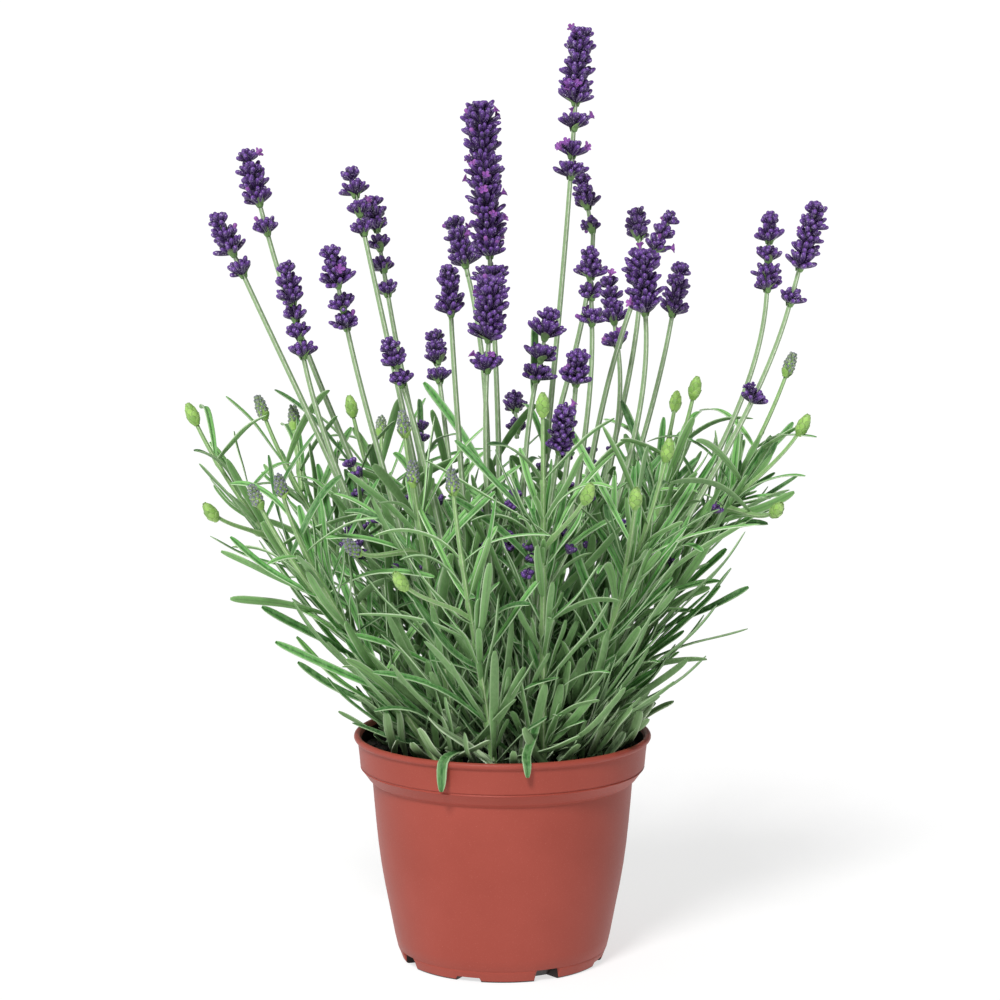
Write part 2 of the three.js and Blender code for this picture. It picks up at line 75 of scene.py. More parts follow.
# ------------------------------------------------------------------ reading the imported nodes

class Shape:
    """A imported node's corners, welded, with the corners next to each one."""

    def __init__(self, name):
        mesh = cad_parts[name].data
        flat = np.empty(len(mesh.vertices) * 3, dtype=np.float32)
        mesh.vertices.foreach_get("co", flat)
        keys = np.round(flat.reshape(-1, 3) / (0.01 * MM)).astype(int)
        unique, inverse = np.unique(keys, axis=0, return_inverse=True)
        self.points = unique * 0.01 * MM
        ends = np.empty(len(mesh.edges) * 2, dtype=np.int32)
        mesh.edges.foreach_get("vertices", ends)
        pairs = np.sort(inverse.reshape(-1)[ends].reshape(-1, 2), axis=1)
        self.edges = np.unique(pairs[pairs[:, 0] != pairs[:, 1]], axis=0)
        self.near = [set() for _ in self.points]
        for a, b in self.edges:
            self.near[a].add(int(b))
            self.near[b].add(int(a))

    def rings_from(self, tip, sides):
        """The rings met on the way down from a pointed end, as arrays of corners."""
        seen = {tip}
        ring = sorted(self.near[tip])
        rings = []
        while len(ring) == sides and all(len(self.near[v] & set(ring)) >= 2 for v in ring):
            rings.append(self.points[ring])
            seen |= set(ring)
            ring = sorted(set().union(*(self.near[v] for v in ring)) - seen)
        return rings

    def ends(self, sides, fewest):
        """Every corner that ends a run of at least that many rings: (tip, rings)."""
        found = []
        for tip, near in enumerate(self.near):
            if len(near) == sides:
                rings = self.rings_from(tip, sides)
                if len(rings) >= fewest:
                    found.append((self.points[tip], rings))
        return found

    def middle_of_cut(self, place, direction, reach):
        """The middle of what a plane cuts near a place, or None where there is nothing."""
        heights = (self.points - place) @ direction
        a, b = heights[self.edges[:, 0]], heights[self.edges[:, 1]]
        crossed = a * b < 0
        share = (a[crossed] / (a[crossed] - b[crossed]))[:, None]
        first, second = self.points[self.edges[crossed, 0]], self.points[self.edges[crossed, 1]]
        cuts = first + share * (second - first)
        cuts = cuts[np.linalg.norm(cuts - place, axis=1) < reach]
        return None if len(cuts) < 3 else (cuts.min(0) + cuts.max(0)) / 2


def unit(v):
    return v / np.linalg.norm(v)


def bezier(controls, t):
    """Points of a quadratic or cubic curve at the parameters t."""
    n = len(controls) - 1
    t = np.asarray(t)[:, None]
    return sum(math.comb(n, k) * (1 - t) ** (n - k) * t**k * controls[k] for k in range(n + 1))


def cubic_through(points, at):
    """The cubic curve nearest to points at known parameters."""
    at = np.asarray(at)[:, None]
    basis = np.hstack([math.comb(3, k) * (1 - at) ** (3 - k) * at**k for k in range(4)])
    controls, *_ = np.linalg.lstsq(basis, np.asarray(points), rcond=None)
    return controls


def evenly(points, step):
    """A polyline's points again at even distances."""
    lengths = np.concatenate([[0], np.cumsum(np.linalg.norm(np.diff(points, axis=0), axis=1))])
    count = max(4, int(lengths[-1] / step))
    at = np.linspace(0, lengths[-1], count + 1)
    return np.column_stack([np.interp(at, lengths, points[:, k]) for k in range(3)]), lengths[-1]


def leaves_of(shape):
    """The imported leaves: root, bend and tip of each one's curve, its sideways direction and half width."""
    found = []
    for tip, rings in shape.ends(3, 2):
        two, one = rings[0].mean(0), rings[1].mean(0)
        if np.linalg.norm(two - tip) < 5 * MM:
            continue
        root = tip + 3 * (one - two)
        bend = (one - 4 / 9 * root - 1 / 9 * tip) * 9 / 4
        sides = [(rings[0][i] - rings[0][(i + 1) % 3]) for i in range(3)]
        widest = max(sides, key=np.linalg.norm)
        sideways = unit(widest)
        keel = [v for v in rings[0] if abs(np.dot(v - two, sideways)) < 0.25 * np.linalg.norm(widest)]
        upper = two - keel[0] if keel else UP
        found.append({
            "curve": np.array([root, bend, tip]),
            "side": sideways,
            "upper": upper,
            "half": np.linalg.norm(widest) / 2 / LEAF_FORESHORTEN,
        })
    return found


def spike_axis(name):
    """A spike's rings from its tip down, as distances along it and radii, with its tip and direction."""
    shape = Shape(name)
    runs = [r for r in shape.ends(6, 4) if np.linalg.norm(r[1][0].mean(0) - r[0]) > 0.3 * MM]
    tip, rings = max(runs, key=lambda run: run[0][2])
    centres = np.array([r.mean(0) for r in rings])
    radii = np.array([np.linalg.norm(r - c, axis=1).mean() for r, c in zip(rings, centres)])
    down = unit(centres[-1] - tip)
    below = (centres - tip) @ down
    length = ((shape.points - tip) @ down).max()
    return {"name": name, "tip": tip, "length": length, "down": down, "below": below, "radii": radii}


def flower_stalks(name):
    """The centre lines of a packed stem's stalks, each from its foot to its spike."""
    shape = Shape(name)
    low = shape.points[shape.points[:, 2] < shape.points[:, 2].min() + 0.6 * MM]
    foot = np.array([*low[:, :2].mean(0), SOIL])
    stalks = []
    for end, rings in shape.ends(5, 3):
        is_top = end[2] > SOIL + 60 * MM and np.linalg.norm(rings[0].mean(0) - end) < 0.2 * MM
        if is_top:
            centres = [r.mean(0) for r in rings[: STEM_STEPS - 1]]
            at = [1 - k / STEM_STEPS for k in range(len(centres))]
            controls = cubic_through([foot, *centres], [0, *at])
            stalks.append(bezier(controls, np.linspace(0, 1, 60)))
    return shape, stalks


def bud_stalks(name):
    """The centre lines of a packed shoot's stalks, each from its foot or fork to the tip of its bud."""
    shape = Shape(name)
    stalks = []
    for tip, rings in shape.ends(5, 3):
        if np.linalg.norm(rings[0].mean(0) - tip) < 1 * MM:
            continue
        place = rings[2].mean(0)
        heading = unit(place - tip)
        path = [tip, rings[0].mean(0), place]
        while place[2] > SOIL + 3 * MM and len(path) < 150:
            ahead = place + heading * 2.5 * MM
            middle = shape.middle_of_cut(ahead, heading, 2.1 * MM)
            ahead = ahead if middle is None else 0.5 * ahead + 0.5 * middle
            heading = unit(0.8 * heading + 0.2 * unit(ahead - place))
            place = ahead
            path.append(place)
        stalks.append(np.array(path[::-1]))
    stalks.sort(key=lambda path: -path[-1][2])
    trimmed = []
    for path in stalks:
        start = 0
        for other in trimmed:
            gaps = np.linalg.norm(path[:, None] - other[None], axis=2).min(1)
            joined = np.where(gaps < 1.6 * MM)[0]
            start = max(start, joined.max() if len(joined) else 0)
        chord = np.concatenate([[0], np.cumsum(np.linalg.norm(np.diff(path[start:], axis=0), axis=1))])
        controls = cubic_through(path[start:], chord / chord[-1])
        trimmed.append(bezier(controls, np.linspace(0, 1, 60)))
    return shape, trimmed


# ------------------------------------------------------------------ building meshes

@functools.lru_cache(None)
def loft_faces(rings, around):
    """The four-cornered and three-cornered faces of a closed tube of rings, with a centre at each end."""
    i, j = np.meshgrid(np.arange(rings - 1), np.arange(around), indexing="ij")
    k = (j + 1) % around
    quads = np.stack([i * around + j, i * around + k, (i + 1) * around + k, (i + 1) * around + j], axis=-1)
    j = np.arange(around)
    k = (j + 1) % around
    first, last = rings * around, rings * around + 1
    top = (rings - 1) * around
    caps = np.concatenate([
        np.stack([np.full(around, first), k, j], axis=-1),
        np.stack([np.full(around, last), top + j, top + k], axis=-1),
    ])
    return quads.reshape(-1, 4), caps


class Builder:
    """Collects closed forms into one mesh, with numbers at each corner for the materials to read."""

    def __init__(self):
        self.points, self.quads, self.caps, self.slots4, self.slots3 = [], [], [], [], []
        self.notes = {"across": [], "along": [], "under": [], "tone": []}
        self.count = 0

    def add(self, points, quads, caps, across=0.0, along=0.0, under=0.0, tone=0.5, slot=0):
        size = len(points)
        self.points.append(points)
        self.quads.append(quads + self.count)
        self.caps.append(caps + self.count)
        self.slots4.append(np.full(len(quads), slot))
        self.slots3.append(np.full(len(caps), slot))
        for name, value in (("across", across), ("along", along), ("under", under), ("tone", tone)):
            self.notes[name].append(np.broadcast_to(np.asarray(value, dtype=np.float32), (size,)))
        self.count += size

    def loft(self, rings, across, along, under=0.0, tone=0.5, slot=0):
        """A closed tube from rings of points, shaped (rings, around, 3)."""
        n, m = rings.shape[:2]
        quads, caps = loft_faces(n, m)
        points = np.concatenate([rings.reshape(-1, 3), rings[0].mean(0)[None], rings[-1].mean(0)[None]])
        spread = lambda v: np.concatenate([np.broadcast_to(v, (n, m)).reshape(-1), [0.0, 0.0]])
        lengthwise = np.concatenate([np.repeat(along, m), [along[0], along[-1]]])
        self.add(points, quads, caps, spread(across), lengthwise, spread(under), tone, slot)

    def piece(self, name, materials):
        """One object of all that was added, smoothly shaded."""
        quads = np.concatenate(self.quads)
        caps = np.concatenate(self.caps)
        mesh = bpy.data.meshes.new(name)
        points = np.concatenate(self.points)
        mesh.vertices.add(len(points))
        mesh.vertices.foreach_set("co", points.astype(np.float32).ravel())
        mesh.loops.add(4 * len(quads) + 3 * len(caps))
        mesh.loops.foreach_set("vertex_index", np.concatenate([quads.ravel(), caps.ravel()]).astype(np.int32))
        mesh.polygons.add(len(quads) + len(caps))
        starts = np.concatenate([np.arange(len(quads)) * 4, 4 * len(quads) + np.arange(len(caps)) * 3])
        mesh.polygons.foreach_set("loop_start", starts.astype(np.int32))
        slots = np.concatenate(self.slots4 + self.slots3)
        mesh.polygons.foreach_set("material_index", slots.astype(np.int32))
        mesh.update(calc_edges=True)
        for key, values in self.notes.items():
            layer = mesh.attributes.new(key, "FLOAT", "POINT")
            layer.data.foreach_set("value", np.concatenate(values))
        for look in materials:
            mesh.materials.append(look)
        mesh.polygons.foreach_set("use_smooth", np.full(len(mesh.polygons), True))
        piece = bpy.data.objects.new(name, mesh)
        bpy.context.scene.collection.objects.link(piece)
        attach(piece, "root")
        return piece


def frames_along(points, sideways):
    """Side and upper directions at each point of a path, turned as little as possible on the way."""
    along = np.gradient(points, axis=0)
    along /= np.linalg.norm(along, axis=1)[:, None]
    side = np.asarray(sideways, dtype=float)
    sides = []
    for direction in along:
        side = side - direction * np.dot(side, direction)
        side = unit(side)
        sides.append(side)
    sides = np.array(sides)
    return sides, np.cross(along, sides)


# ------------------------------------------------------------------ leaves

# A leaf's section in half widths: two rolled edges, a groove along the middle and a rib beneath.
LEAF_SECTION = np.array([
    (1.0, -0.06), (0.86, 0.1), (0.5, 0.08), (0.14, -0.04), (0.0, -0.14), (-0.14, -0.04), (-0.5, 0.08),
    (-0.86, 0.1), (-1.0, -0.06), (-0.82, -0.2), (-0.45, -0.12), (0.0, -0.32), (0.45, -0.12), (0.82, -0.2),
])
LEAF_UNDER = np.array([0.0] * 9 + [1.0] * 5)
LEAF_AT = np.array([0, 0.05, 0.12, 0.2, 0.29, 0.38, 0.47, 0.56, 0.65, 0.74, 0.82, 0.88, 0.93, 0.97, 1.0])
LEAF_WIDTH = np.interp(
    LEAF_AT,
    [0, 0.1, 0.3, 0.55, 0.8, 0.9, 0.96, 1.0],
    [0.42, 0.6, 0.86, 1.0, 0.99, 0.9, 0.7, 0.34],
)


def leaf_on_path(builder, path, side, half, fold, twist, tone, wave=0.0):
    """A leaf laid along a path of points, one for each of LEAF_AT."""
    sides, uppers = frames_along(path, side)
    turn = (twist * LEAF_AT)[:, None]
    turned = sides * np.cos(turn) + uppers * np.sin(turn)
    uppers = uppers * np.cos(turn) - sides * np.sin(turn)
    path = path + uppers * (wave * np.sin(LEAF_AT * 9 + tone * 40))[:, None]
    widths = (half * LEAF_WIDTH)[:, None, None]
    raised = LEAF_SECTION[:, 1] + fold * np.abs(LEAF_SECTION[:, 0])
    rings = path[:, None] + turned[:, None] * (widths * LEAF_SECTION[:, 0][None, :, None])
    rings = rings + uppers[:, None] * (widths * raised[None, :, None])
    builder.loft(rings, LEAF_SECTION[:, 0][None], LEAF_AT, LEAF_UNDER[None], tone)


def leaf_path(root, leaving, towards, length, bend):
    """A leaf's centre line: it starts along one direction and swings by an amount towards another."""
    turn = unit(leaving)[None] + bend * LEAF_AT[:, None] * towards[None]
    turn /= np.linalg.norm(turn, axis=1)[:, None]
    steps = (turn[1:] + turn[:-1]) / 2 * np.diff(LEAF_AT)[:, None] * length
    return root + np.concatenate([np.zeros((1, 3)), np.cumsum(steps, axis=0)])


# How far leaves may reach to the sides, and to the front and back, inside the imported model's box.
WIDEST = min(cad_high.x, -cad_low.x) - 2.5 * MM
DEEPEST = min(cad_high.y, -cad_low.y) - 2.5 * MM
RIM_MARGIN = 2.5 * MM  # between the rim and a leaf's centre line that passes over it
OUTLINE_SLOPE = 0.85  # how fast the plant's outline widens with height above the rim
FULL_TURN = 6.3
# Heights that no leaf may pass: low ones, those of flowering stems and those of leafy shoots.
LOW_LEAF_TOP = 0.2
STEM_LEAF_TOP = 0.198
SHOOT_LEAF_TOP = 0.218


def has_room(path, top):
    """True if a leaf's path stays inside the plant's outline, above the compost and over the rim."""
    away = np.hypot(path[:, 0], path[:, 1])
    outward = np.hypot(path[:, 0], path[:, 1] * WIDEST / DEEPEST)
    limit = np.minimum(WIDEST, RIM_RADIUS + 12 * MM + (path[:, 2] - POT_HEIGHT) * OUTLINE_SLOPE)
    inside = away < RIM_RADIUS - 5 * MM
    over_rim = ~inside & (away < RIM_RADIUS + 3 * MM)
    beyond = np.where(inside, SOIL + 1.5 * MM, POT_HEIGHT - 10 * MM)
    floor = np.where(over_rim, POT_HEIGHT + RIM_MARGIN, beyond)
    return bool(np.all(outward < limit) and np.all(path[:, 2] > floor) and path[:, 2].max() < top)


def outward_of(place):
    flat = np.array([place[0], place[1], 0.0])
    return flat / max(np.linalg.norm(flat), 1e-6)


def turn_towards(direction):
    """The turn round an upright stalk at which grow_leaf sends a leaf along a level direction."""
    return math.atan2(direction[1], direction[0]) + math.pi / 2


def grow_leaf(builder, root, stem_way, turn, slant, length, half, bend, roll, dice, top, tone):
    """Adds one leaf beside a stalk if there is room for it, and says whether there was."""
    rows = basis_for(stem_way, 0.0)
    aside = rows[0] * math.cos(turn) + rows[1] * math.sin(turn)
    leaving = stem_way * math.cos(slant) + aside * math.sin(slant)
    towards = unit(aside + outward_of(root) * 0.5 - UP * 0.8) if bend > 0 else UP
    path = leaf_path(root, leaving, towards, length, abs(bend))
    if not has_room(path[2:], top):
        return False
    side = unit(np.cross(stem_way, aside))
    upper = np.cross(unit(leaving), side)
    rolled = side * math.cos(roll) + upper * math.sin(roll)
    twist = dice.normal(0, 0.45)
    leaf_on_path(builder, path, rolled, half, dice.uniform(-0.05, 0.3), twist, tone, wave=0.3 * MM)
    return True


# How long and how wide leaves are for their place up the leafy part of a stalk.
LENGTH_UP_STALK = ((0, 0.3, 0.7, 1), (0.6, 0.95, 0.92, 0.56))
WIDTH_UP_STALK = ((0, 0.3, 0.7, 1), (0.82, 1.04, 0.98, 0.76))


# What the leaves of a pair and those of a bunch are drawn from: degrees from the stalk, and half a
# pair's width or a bunch's length in millimetres.
PAIR_SLANT = (16, 40)
PAIR_HALF = (1.45, 2.0)
BUNCH_SLANT = (8, 38)
BUNCH_LENGTH = (11, 32)


def dress_with_leaves(builder, stalk_points, dice, start, stop, spacing, size, top):
    """Opposite pairs of leaves up a stalk, with bunches of small ones in their axils."""
    points, length = evenly(stalk_points, 1 * MM)
    step = length / (len(points) - 1)
    ways = np.gradient(points, axis=0)
    ways /= np.linalg.norm(ways, axis=1)[:, None]
    quarter = dice.uniform(0, math.pi)
    along = start + dice.uniform(0, 6) * MM
    while along < stop:
        index = min(len(points) - 1, int(along / step))
        root, way = points[index], ways[index]
        share = (along - start) / max(1e-6, stop - start)
        for side in (0, math.pi):
            for attempt in range(6):
                slant = dice.uniform(*PAIR_SLANT) + 12 * (1 - share) + 5 * attempt * dice.uniform(-1, 1)
                slant = math.radians(slant)
                long = dice.uniform(*size) * np.interp(share, *LENGTH_UP_STALK) * (1 - 0.06 * attempt)
                half = dice.uniform(*PAIR_HALF) * MM * np.interp(share, *WIDTH_UP_STALK)
                turn = quarter + side + dice.normal(0, 0.3)
                bend = dice.normal(-0.26, 0.38)
                # Painted shade: leaves lower on the stalk get darker tones.
                tone = dice.uniform(0, 0.72) * (0.4 + 0.6 * share) + 0.28 * share
                roll = dice.normal(0, 0.5)
                if grow_leaf(builder, root, way, turn, slant, long, half, bend, roll, dice, top, tone):
                    break
        for _ in range(dice.integers(1, 4)):
            slant = math.radians(dice.uniform(*BUNCH_SLANT))
            long = dice.uniform(*BUNCH_LENGTH) * MM
            half = (0.6 + 0.03 * long / MM) * MM
            # Painted shade: small leaves lower on the stalk get darker tones too.
            tone = dice.uniform(0.25, 1) * (0.4 + 0.6 * share)
            turn = dice.uniform(0, FULL_TURN)
            bend = dice.normal(0, 0.4)
            roll = dice.normal(0, 0.5)
            grow_leaf(builder, root, way, turn, slant, long, half, bend, roll, dice, top, tone)
        quarter += math.pi / 2 + dice.normal(0, 0.12)
        along += spacing * dice.uniform(0.8, 1.2)


def basal_leaves(builder, foot, dice, count):
    """Older leaves low on a plant, leaning out over the compost and the rim with their tips turned up."""
    for _ in range(count):
        root = foot + UP * dice.uniform(2, 22) * MM
        away = turn_towards(foot) + dice.normal(0, 0.8)
        for attempt in range(8):
            slant = math.radians(dice.uniform(35, 82) - 6 * attempt)
            long = dice.uniform(34, 62) * MM
            half = dice.uniform(1.4, 2.1) * MM
            bend = dice.uniform(-1.5, -0.2)
            roll = dice.normal(0, 0.6)
            tone = dice.uniform(0, 0.3)
            if grow_leaf(builder, root, UP, away, slant, long, half, bend, roll, dice, LOW_LEAF_TOP, tone):
                break


# Long leaves that stand out to the sides low on two shoots: (height above the compost, direction as a
# turn in degrees from +X, slant in degrees from upright, length), with the lengths in millimetres.
SIDE_LEAVES = {
    "leafy_shoot_01": (
        (20, 184, 68, 52), (26, 205, 60, 58), (34, 172, 56, 60), (44, 190, 52, 62), (56, 178, 46, 60),
    ),
    "leafy_shoot_10": (
        (19, -4, 72, 48), (25, 14, 62, 52), (30, -22, 60, 56), (38, 4, 58, 58), (48, -14, 54, 62),
        (60, 6, 44, 58), (70, -18, 40, 52),
    ),
}


def side_leaves(builder, name, path, dice):
    for height, heading, slant, long in SIDE_LEAVES.get(name, ()):
        root = path[int(np.argmin(np.abs(path[:, 2] - SOIL - height * MM)))]
        turn = turn_towards((math.cos(math.radians(heading)), math.sin(math.radians(heading))))
        slant = math.radians(slant)
        half = dice.uniform(1.6, 2.0) * MM
        bend = dice.uniform(-0.9, -0.55)
        roll = dice.normal(0, 0.3)
        tone = dice.uniform(0.2, 0.8)
        grow_leaf(builder, root, UP, turn, slant, long * MM, half, bend, roll, dice, SHOOT_LEAF_TOP, tone)


def packed_leaf(builder, leaf, dice):
    path = bezier(leaf["curve"], LEAF_AT)
    side = leaf["side"]
    along = unit(leaf["curve"][2] - leaf["curve"][0])
    sagging = max(0.0, 0.75 - along[2]) * np.linalg.norm(path[-1] - path[0])
    path = path + UP * (0.34 * sagging * LEAF_AT**2)[:, None]
    if np.dot(np.cross(along, side), leaf["upper"]) < 0:
        side = -side
    leaf_on_path(
        builder, path, side, leaf["half"] * 0.95, dice.uniform(0.0, 0.25), dice.normal(0, 0.25),
        dice.uniform(0, 1), wave=0.2 * MM,
    )


# Leaves of the front that hang over the rim, each as (turn in degrees where it starts, turn at the
# rim, millimetres above the rim where it starts, millimetres below it where it ends, half width).
HANGING_LEAVES = ((-110.5, -112.5, 1.0, 11.5, 2.3), (-66.0, -81.0, 22.0, 5.0, 1.9))


def hanging_leaf(builder, leaf):
    """A leaf that lies over the rim and hangs down outside it."""
    start, end, above, drop, half = leaf
    rim, top = RIM_RADIUS / MM, POT_HEIGHT / MM
    stations = [
        (start, rim - 30, top + above - 3), (0.6 * start + 0.4 * end, rim - 16, top + 0.5 * above + 1),
        (end, rim - 4, top + 1.6), (end, rim + 0.2, top + 1.4), (end, rim + 1.5, top - 0.8),
        (end, rim + 1.4, top - 0.5 * drop), (end, rim + 2.0, top - drop),
    ]
    stations = np.array([
        (away * math.cos(math.radians(turn)), away * math.sin(math.radians(turn)), height)
        for turn, away, height in stations
    ]) * MM
    lengths = np.concatenate([[0], np.cumsum(np.linalg.norm(np.diff(stations, axis=0), axis=1))])
    corners = np.column_stack([np.interp(LEAF_AT * lengths[-1], lengths, stations[:, k]) for k in range(3)])
    path = corners.copy()
    path[1:-1] = (corners[:-2] + 2 * corners[1:-1] + corners[2:]) / 4
    outward = outward_of(stations[-1])
    leaf_on_path(builder, path, np.cross(UP, outward), half * MM, 0.1, 0.0, 0.12)


def litter_leaves(builder, dice, count):
    """Small old leaves at the foot of the plant, curling up over the compost and out to the rim."""
    for _ in range(count):
        turn = dice.uniform(0, 2 * math.pi)
        away = dice.uniform(28, 50) * MM
        root = np.array([away * math.cos(turn), away * math.sin(turn), SOIL + dice.uniform(2, 9) * MM])
        for attempt in range(8):
            slant = math.radians(dice.uniform(38, 80))
            long = dice.uniform(15, 38) * MM
            way = turn_towards(root) + dice.normal(0, 1.1)
            bend = dice.uniform(-1.3, 0.5)
            half = (1.15 + 0.028 * long / MM) * MM
            roll = dice.normal(0, 0.6)
            tone = dice.uniform(0, 1)
            if grow_leaf(builder, root, UP, way, slant, long, half, bend, roll, dice, LOW_LEAF_TOP, tone):
                break


# ------------------------------------------------------------------ stalks

STALK_AROUND = 16
STALK_TURN = np.arange(STALK_AROUND) * 2 * math.pi / STALK_AROUND
STALK_RIB = np.cos(4 * STALK_TURN)


def stalk(builder, path, foot_radius, top_radius, joints, tone, slot=0):
    """A four-ribbed stalk, a little thicker at its joints."""
    points, length = evenly(path, 2 * MM)
    along = np.linspace(0, 1, len(points))
    radii = foot_radius + (top_radius - foot_radius) * along
    for joint in joints:
        gap = np.linalg.norm(points - joint, axis=1)
        radii = radii * (1 + 0.22 * np.exp(-((gap / (1.6 * MM)) ** 2)))
    sides, uppers = frames_along(points, (1, 0.2, 0))
    profile = 0.94 + 0.09 * STALK_RIB + 0.02 * np.cos(8 * STALK_TURN)
    ring = profile[None, :, None] * radii[:, None, None]
    across = sides[:, None] * np.cos(STALK_TURN)[None, :, None]
    upward = uppers[:, None] * np.sin(STALK_TURN)[None, :, None]
    rings = points[:, None] + ring * (across + upward)
    builder.loft(rings, STALK_RIB[None], along, 0.0, tone, slot)


# ------------------------------------------------------------------ flowers

def turned_form(profile, around, shape_at):
    """A closed form round +Z from (height, radius) pairs; shape_at(turn, height) scales the radius."""
    turn = np.arange(around) * 2 * math.pi / around
    heights = np.array([h for h, _ in profile])[:, None]
    radii = np.array([r for _, r in profile])[:, None] * shape_at(turn[None], heights)
    z = np.broadcast_to(heights, radii.shape)
    return np.stack([radii * np.cos(turn), radii * np.sin(turn), z], axis=-1)


CALYX_PROFILE = [
    (0.0, 0.3), (0.06, 0.5), (0.16, 0.68), (0.3, 0.83), (0.45, 0.93), (0.6, 1.0), (0.74, 1.0), (0.85, 0.93),
    (0.93, 0.76), (0.975, 0.52), (1.0, 0.2),
]
CALYX_AROUND = 16
CALYX_RIB = np.cos(8 * np.arange(CALYX_AROUND) * 2 * math.pi / CALYX_AROUND)
CALYX = turned_form(
    CALYX_PROFILE,
    CALYX_AROUND,
    lambda turn, height: 1 + np.where((height > 0.05) & (height < 0.9), 0.07, 0.02) * np.cos(8 * turn),
)
CALYX_HEIGHT = np.array([h for h, _ in CALYX_PROFILE])


def petal_edge(turn, height):
    """Five lobes, the two upper ones longer, where the flower opens."""
    lobes = np.abs(np.cos(2.5 * turn)) ** 0.6
    upper = 1 + 0.3 * np.cos(turn)
    return np.where(height > 0.62, (0.45 + 0.55 * lobes) * upper, 1.0)


COROLLA_PROFILE = [
    (0.0, 0.3), (0.3, 0.34), (0.5, 0.42), (0.66, 0.66), (0.8, 1.0), (0.86, 1.25), (0.9, 1.3), (0.85, 1.2),
    (0.76, 0.9), (0.64, 0.5), (0.58, 0.2),
]
COROLLA_AROUND = 30
COROLLA = turned_form(COROLLA_PROFILE, COROLLA_AROUND, petal_edge)
COROLLA_HEIGHT = np.array([h for h, _ in COROLLA_PROFILE])


def basis_for(direction, roll):
    """Three directions as rows: two across, turned by roll, and the one given."""
    helper = np.array([1.0, 0, 0]) if abs(direction[0]) < 0.8 else np.array([0, 1.0, 0])
    x = unit(np.cross(helper, direction))
    y = np.cross(direction, x)
    return np.array([
        x * math.cos(roll) + y * math.sin(roll),
        y * math.cos(roll) - x * math.sin(roll),
        direction,
    ])


def place_form(builder, form, heights, across, base, direction, length, radius, roll, tone, slot):
    rows = basis_for(direction, roll)
    rings = (form * np.array([radius, radius, length])) @ rows + base
    builder.loft(rings, across, heights, 0.0, tone, slot)


CALYX_SLOT, COROLLA_SLOT, BRACT_SLOT, AXIS_SLOT = range(4)  # in a spike's list of materials
STEM_CALYX_SLOT = 1  # in a stem's list


def wrapped_scale(builder, place, up, outward, low, high, girth, half, lift, tone, slot):
    """A pointed scale that wraps a form turned round an axis: girth(s) is that form's radius at height s."""
    aside = np.cross(up, outward)
    at = np.linspace(0, 1, 9)
    spread = np.concatenate([np.linspace(1, -1, 7), np.linspace(-1, 1, 7)[1:-1] * 0.9])
    outer = np.array([1.0] * 7 + [0.0] * 5)
    heights = low + (high - low) * at
    radii = np.array([girth(h) for h in heights])
    widths = half * np.sin(np.pi * (0.14 + 0.84 * at)) ** 0.75
    angle = widths[:, None] * spread[None] / np.maximum(radii, 0.6 * MM)[:, None]
    thickness = 0.16 * MM * outer[None] * (1 - np.abs(spread[None]) ** 3)
    reach = radii[:, None] + (lift * (0.3 + at**2))[:, None] + thickness
    rings = place + up * heights[:, None, None]
    rings = rings + outward * (np.cos(angle) * reach)[..., None] + aside * (np.sin(angle) * reach)[..., None]
    builder.loft(rings, spread[None], at, 0.0, tone, slot)


def calyx(builder, base, direction, long, wide, dice, slot):
    roll = dice.uniform(0, FULL_TURN)
    tone = dice.uniform(0, 1)
    place_form(builder, CALYX, CALYX_HEIGHT, CALYX_RIB[None], base, direction, long, wide, roll, tone, slot)


AXIS_GIRTH = 0.9 * MM  # from which the calyces of a whorl start
CALYX_HALF = 0.95 * MM
LONGEST_CALYX = 8.4 * MM
CALYX_SPACING = 3.9 * MM  # round a whorl's outer ring
OUTER_LEAN = 57  # degrees from the spike's axis


def whorl(builder, seat, up, radius, dice, bloom, headroom, slot=CALYX_SLOT):
    """Calyces that rise from one joint of a spike like a bowl: three rings, from leaning to upright."""
    rows = basis_for(up, dice.uniform(0, FULL_TURN))
    count = max(6, int(round(2 * math.pi * radius / CALYX_SPACING)))
    most = min((radius - 0.4 * AXIS_GIRTH) / math.sin(math.radians(OUTER_LEAN)), LONGEST_CALYX)
    for ring, (number, lean, share, rise) in enumerate((
        (count, OUTER_LEAN, 1.0, 0.0), (count - 1, 38, 1.0, 0.5), (max(4, count // 2), 17, 0.95, 1.2),
    )):
        for k in range(number):
            turn = 2 * math.pi * (k + 0.5 * ring + dice.normal(0, 0.1)) / number
            outward = rows[0] * math.cos(turn) + rows[1] * math.sin(turn)
            slant = math.radians(lean + dice.normal(0, 9))
            direction = unit(outward * math.sin(slant) + up * math.cos(slant))
            room = (headroom - rise * MM) / max(0.3, math.cos(slant))
            long = min(most * share * dice.uniform(0.8, 1.14), room)
            base = seat + up * rise * MM + outward * AXIS_GIRTH * 0.5
            calyx(builder, base, direction, long, CALYX_HALF * dice.uniform(0.88, 1.1), dice, slot)
            draw = dice.uniform()
            if draw < bloom:
                open_flower(builder, base + direction * long * 0.7, unit(direction + outward * 0.3), dice)
            elif draw < bloom * 1.5:
                closed_flower(builder, base + direction * long * 0.75, unit(direction + up * 0.3), dice)


def open_flower(builder, tip, direction, dice):
    long = dice.uniform(3.2, 4.0) * MM
    wide = dice.uniform(1.3, 1.7) * MM
    roll = dice.uniform(0, 6)
    tone = dice.uniform(0, 1)
    form = (COROLLA, COROLLA_HEIGHT, 0.0)
    place_form(builder, *form, tip, direction, long, wide, roll, tone, COROLLA_SLOT)


def closed_flower(builder, tip, direction, dice):
    long = dice.uniform(2.6, 3.4) * MM
    tone = dice.uniform(0, 1)
    form = (CALYX, CALYX_HEIGHT, 0.0)
    place_form(builder, *form, tip, direction, long, 0.85 * MM, 0.0, tone, COROLLA_SLOT)


